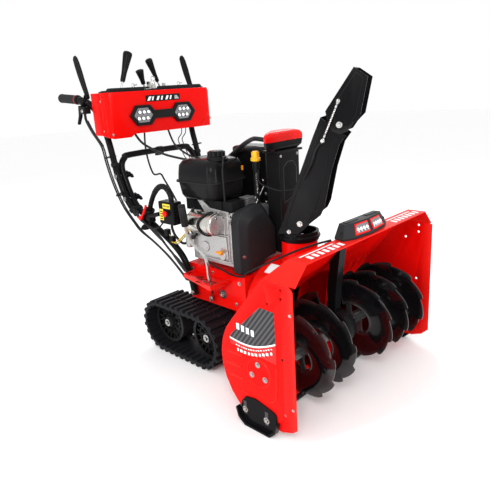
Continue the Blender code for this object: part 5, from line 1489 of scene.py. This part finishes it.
def make_harness():
    """The loom and small wires round the starter and switch box."""
    for i, (offset, radius) in enumerate(((0.0, 0.0042), (0.009, 0.0030), (-0.008, 0.0034))):
        cable(f"low_cable_{i}", [(-0.222, 0.930 + offset, 0.542), (-0.226, 0.880, 0.512 + offset * 0.7),
                                 (-0.226, 0.812 + offset, 0.480), (-0.224, 0.768 + offset, 0.452),
                                 (-0.222, 0.729 + offset, 0.420 + offset), (-0.214, 0.690 + offset, 0.380),
                                 (-0.198, 0.662 + offset, 0.330)], radius)
    plugs = bmesh.new()
    for low, high in (((-0.198, 0.755, 0.452), (-0.180, 0.775, 0.478)),
                      ((-0.196, 0.730, 0.428), (-0.178, 0.748, 0.454))):
        add_box(plugs, low, high)
    piece("loom_plugs", plugs, GLOSS, bevel=0.0020, segments=3)
    for i, (finish, offset) in enumerate(((YELLOW, 0.0), (GREEN, 0.005), (YELLOW, 0.009), (HOSE, -0.005))):
        cable(f"loom_wire_{i}", [(-0.190, 0.752, 0.450 + offset), (-0.196, 0.724 + offset, 0.432),
                                 (-0.200, 0.690, 0.440 + offset), (-0.190, 0.660 + offset, 0.470),
                                 (-0.184, 0.640, 0.490 + offset)], 0.0013, finish, 0.0, 8, 6)
    cable("loom_cover", [(-0.194, 0.724, 0.506), (-0.186, 0.738, 0.484), (-0.180, 0.728, 0.452), (-0.176, 0.690, 0.430),
                         (-0.166, 0.655, 0.452), (-0.168, 0.620, 0.474)], 0.0046, HOSE, 0.0008)
    cable("switch_lead", [(-0.196, 0.766, 0.512), (-0.206, 0.790, 0.486), (-0.214, 0.826, 0.480),
                          (-0.224, 0.868, 0.504),
                          (-0.226, 0.920, 0.536)], 0.0030)
    cable("cap_tether", [(-0.104, 0.529, 0.7440), (-0.112, 0.514, 0.747), (-0.124, 0.5035, 0.735),
                         (-0.130, 0.5035, 0.700),
                         (-0.134, 0.4990, 0.660), (-0.136, 0.4960, 0.606), (-0.134, 0.5010, 0.570)], 0.0034)
    cable("chassis_cable", [(-0.156, 0.612, 0.392), (-0.162, 0.560, 0.371), (-0.165, 0.500, 0.360),
                            (-0.166, 0.452, 0.352),
                            (-0.166, 0.405, 0.356), (-0.165, 0.385, 0.372), (-0.158, 0.330, 0.404),
                            (-0.146, 0.255, 0.444), (-0.134, 0.180, 0.482), (-0.124, 0.120, 0.508),
                            (-0.112, 0.078, 0.523)], 0.0034)
    cable("fuel_hose", [(-0.150, 0.640, 0.566), (-0.170, 0.656, 0.540), (-0.176, 0.668, 0.500), (-0.170, 0.664, 0.470)],
          0.0042)
    cable("breather_hose", [(0.006, 0.420, 0.793), (-0.008, 0.444, 0.798), (0.0, 0.474, 0.797), (0.018, 0.516, 0.786),
                            (0.030, 0.560, 0.768), (0.034, 0.600, 0.745), (0.034, 0.650, 0.712),
                            (0.034, 0.700, 0.660)], 0.0080, HOSE, 0.0, 8, 14)


def make_control_cables():
    """Control cables from the levers and dash down to the chassis, on both sides."""
    for side, hand in SIDES:
        for i, lean in enumerate((0.0, 0.0085)):
            x = side * (0.2335 + lean * 0.35)
            cable(f"control_cable_{hand}_{i}",
                  [(side * 0.270, 1.098 + lean, 0.912), (side * 0.262, 1.108 + lean, 0.880),
                   (side * 0.252, 1.092 + lean, 0.836), (x, 1.064 + lean, 0.780), (x, 1.046 + lean, 0.720),
                   (x, 1.026 + lean, 0.664), (x, 1.000 + lean, 0.610), (x, 0.976 + lean, 0.570),
                   (x, 0.948 + lean, 0.536), (x, 0.905 + lean, 0.498), (x, 0.862 + lean, 0.466),
                   (side * 0.222, 0.806 + lean, 0.428), (side * 0.212, 0.744 + lean, 0.384),
                   (side * 0.200, 0.700 + lean, 0.336), (side * 0.186, 0.672 + lean, 0.290)], 0.0030)
        sleeve = [(side * 0.262, 1.108, 0.880), (side * 0.252, 1.092, 0.836), (side * 0.2345, 1.064, 0.780)]
        cable(f"cable_sleeve_{hand}", sleeve, 0.0056, HOSE, 0.0010, 16)
    cable("joystick_cable", [(-0.142, 1.030, 0.974), (-0.140, 1.016, 0.880), (-0.116, 0.986, 0.796),
                             (-0.082, 0.958, 0.758), (-0.044, 0.920, 0.730),
                             (-0.010, 0.860, 0.712), (0.014, 0.800, 0.700), (0.024, 0.740, 0.668),
                             (0.020, 0.690, 0.600),
                             (0.030, 0.660, 0.540)], 0.0046)
    cable("dash_cable", [(0.046, 1.030, 0.974), (0.040, 1.012, 0.870), (0.034, 0.965, 0.775), (0.040, 0.920, 0.736),
                         (0.046, 0.850, 0.708),
                         (0.050, 0.780, 0.690), (0.060, 0.710, 0.660), (0.076, 0.652, 0.610)], 0.0040)
    cable("shift_rod", [(-0.030, 1.030, 0.974), (-0.046, 1.036, 0.860), (-0.050, 1.042, 0.746),
                        (-0.050, 1.011, 0.652), (-0.050, 0.959, 0.651),
                        (-0.050, 0.937, 0.629), (-0.050, 0.880, 0.560), (-0.060, 0.800, 0.460), (-0.070, 0.700, 0.350),
                        (-0.076, 0.645, 0.300)], 0.0036, SATIN)
    for i, x in enumerate((0.120, 0.142)):
        cable(f"wiring_{i}", [(x - 0.030, 0.966, 0.894), (x - 0.010, 0.996, 0.850), (x + 0.010, 1.020, 0.800),
                              (x - 0.004, 1.030, 0.772),
                              (x + 0.012, 1.040, 0.742), (x + 0.018, 1.020, 0.690), (0.180, 0.990, 0.630),
                              (0.186, 0.955, 0.568)], 0.0020)


def make_ties():
    """Cable ties round the tubes and cables."""
    ties = bmesh.new()
    for side in (-1, 1):
        for y, z, dy, dz in ((1.0345, 0.742, 0.24, 0.97), (0.985, 0.600, 0.50, 0.86), (0.858, 0.484, 0.87, 0.50)):
            x = 0.224 if z > 0.5 else 0.204
            way = Vector((0, dy, dz)).normalized()
            middle = Vector((side * x, y + 0.003, z - 0.003))
            wide = 0.026 if z > 0.5 else 0.034
            flat = []
            for i in range(20):
                angle = 2 * math.pi * i / 20
                across = Vector((1, 0, 0)) * math.cos(angle) * wide
                depth = way.cross(Vector((1, 0, 0))) * math.sin(angle) * 0.0185
                flat.append((across, depth))
            add_loft(ties, [[middle + way * t + a * s + d * s for a, d in flat]
                            for t, s in ((-0.002, 0.97), (-0.002, 1.0), (0.002, 1.0), (0.002, 0.97))])
    piece("cable_ties", ties, SATIN)


def make_cables():
    """Every cable, hose and bent rod, with their ties."""
    make_chute_cable()
    make_harness()
    make_control_cables()
    make_ties()


# ---------------------------------------------------------------- studio

def make_stage():
    """A pale floor under even white light."""
    bm = bmesh.new()
    bmesh.ops.create_grid(bm, x_segments=2, y_segments=2, size=14.0)
    data = bpy.data.meshes.new("floor")
    bm.to_mesh(data)
    bm.free()
    floor = bpy.data.objects.new("floor", data)
    bpy.context.scene.collection.objects.link(floor)
    floor.location = (0, 0, -0.0004)
    data.materials.append(surface("floor_white", (0.965, 0.965, 0.965), (0.98, 0.98, 0.98), patches=2, rough=0.7,
                                  spread=0.02, specular=0.05))
    world = bpy.data.worlds.new("studio")
    bpy.context.scene.world = world
    world.use_nodes = True
    world.node_tree.nodes["Background"].inputs["Color"].default_value = (1, 1, 1, 1)
    world.node_tree.nodes["Background"].inputs["Strength"].default_value = 1.0


def make_light(name, where, target, size, power):
    """A soft area lamp aimed at a point."""
    data = bpy.data.lights.new(name, "AREA")
    data.shape = "RECTANGLE"
    data.size = size[0]
    data.size_y = size[1]
    data.energy = power
    lamp = bpy.data.objects.new(name, data)
    bpy.context.scene.collection.objects.link(lamp)
    lamp.location = where
    lamp.rotation_euler = (target - where).to_track_quat("-Z", "Y").to_euler()


def make_camera():
    """In front of the machine's right side and a little above it."""
    data = bpy.data.cameras.new("camera")
    data.lens = 38.52
    data.sensor_width = 36
    data.dof.use_dof = False
    camera = bpy.data.objects.new("camera", data)
    bpy.context.scene.collection.objects.link(camera)
    turn, pitch, roll = math.radians(-45.05), math.radians(16.665), math.radians(-3.594)
    ahead = Vector((-math.sin(turn) * math.cos(pitch), math.cos(turn) * math.cos(pitch), -math.sin(pitch)))
    right = Vector((math.cos(turn), math.sin(turn), 0))
    over = right.cross(ahead)
    side = math.cos(roll) * right + math.sin(roll) * over
    up = -math.sin(roll) * right + math.cos(roll) * over
    basis = Matrix((side, up, -ahead)).transposed().to_4x4()
    camera.matrix_world = Matrix.Translation(at(-1.336, -0.786, 0.967)) @ basis
    bpy.context.scene.camera = camera


def make_studio():
    """Floor, camera and five soft lamps."""
    make_stage()
    make_camera()
    make_light("key", at(-2.0, -1.3, 2.3), at(0, 0.3, 0.4), (0.8, 0.8), 32)
    make_light("strip", at(-2.6, 0.9, 1.5), at(0, 0.6, 0.5), (0.30, 2.0), 18)
    make_light("front", at(0.7, -2.7, 1.2), at(0, 0.1, 0.4), (0.40, 1.6), 30)
    make_light("streak", at(-1.9, -0.15, 0.50), at(-0.03, 0.24, 0.75), (0.06, 1.0), 3)
    make_light("rim", at(2.2, 2.0, 2.4), at(0, 0.6, 0.5), (1.2, 1.2), 24)
    bpy.context.scene.view_settings.view_transform = "Standard"


def main():
    """Build every piece, then the studio round it."""
    make_housing()
    make_augers()
    make_tracks()
    make_chassis()
    make_engine()
    make_column()
    make_chute()
    make_lamp_bar()
    make_handles()
    make_dash()
    make_cables()
    finish_the_rest()
    make_studio()


def finish_the_rest():
    """Give every CAD node that still shows soft edges and its own finish."""
    for node, thing in NODES.items():
        if not thing.hide_render:
            dress(node)


main()
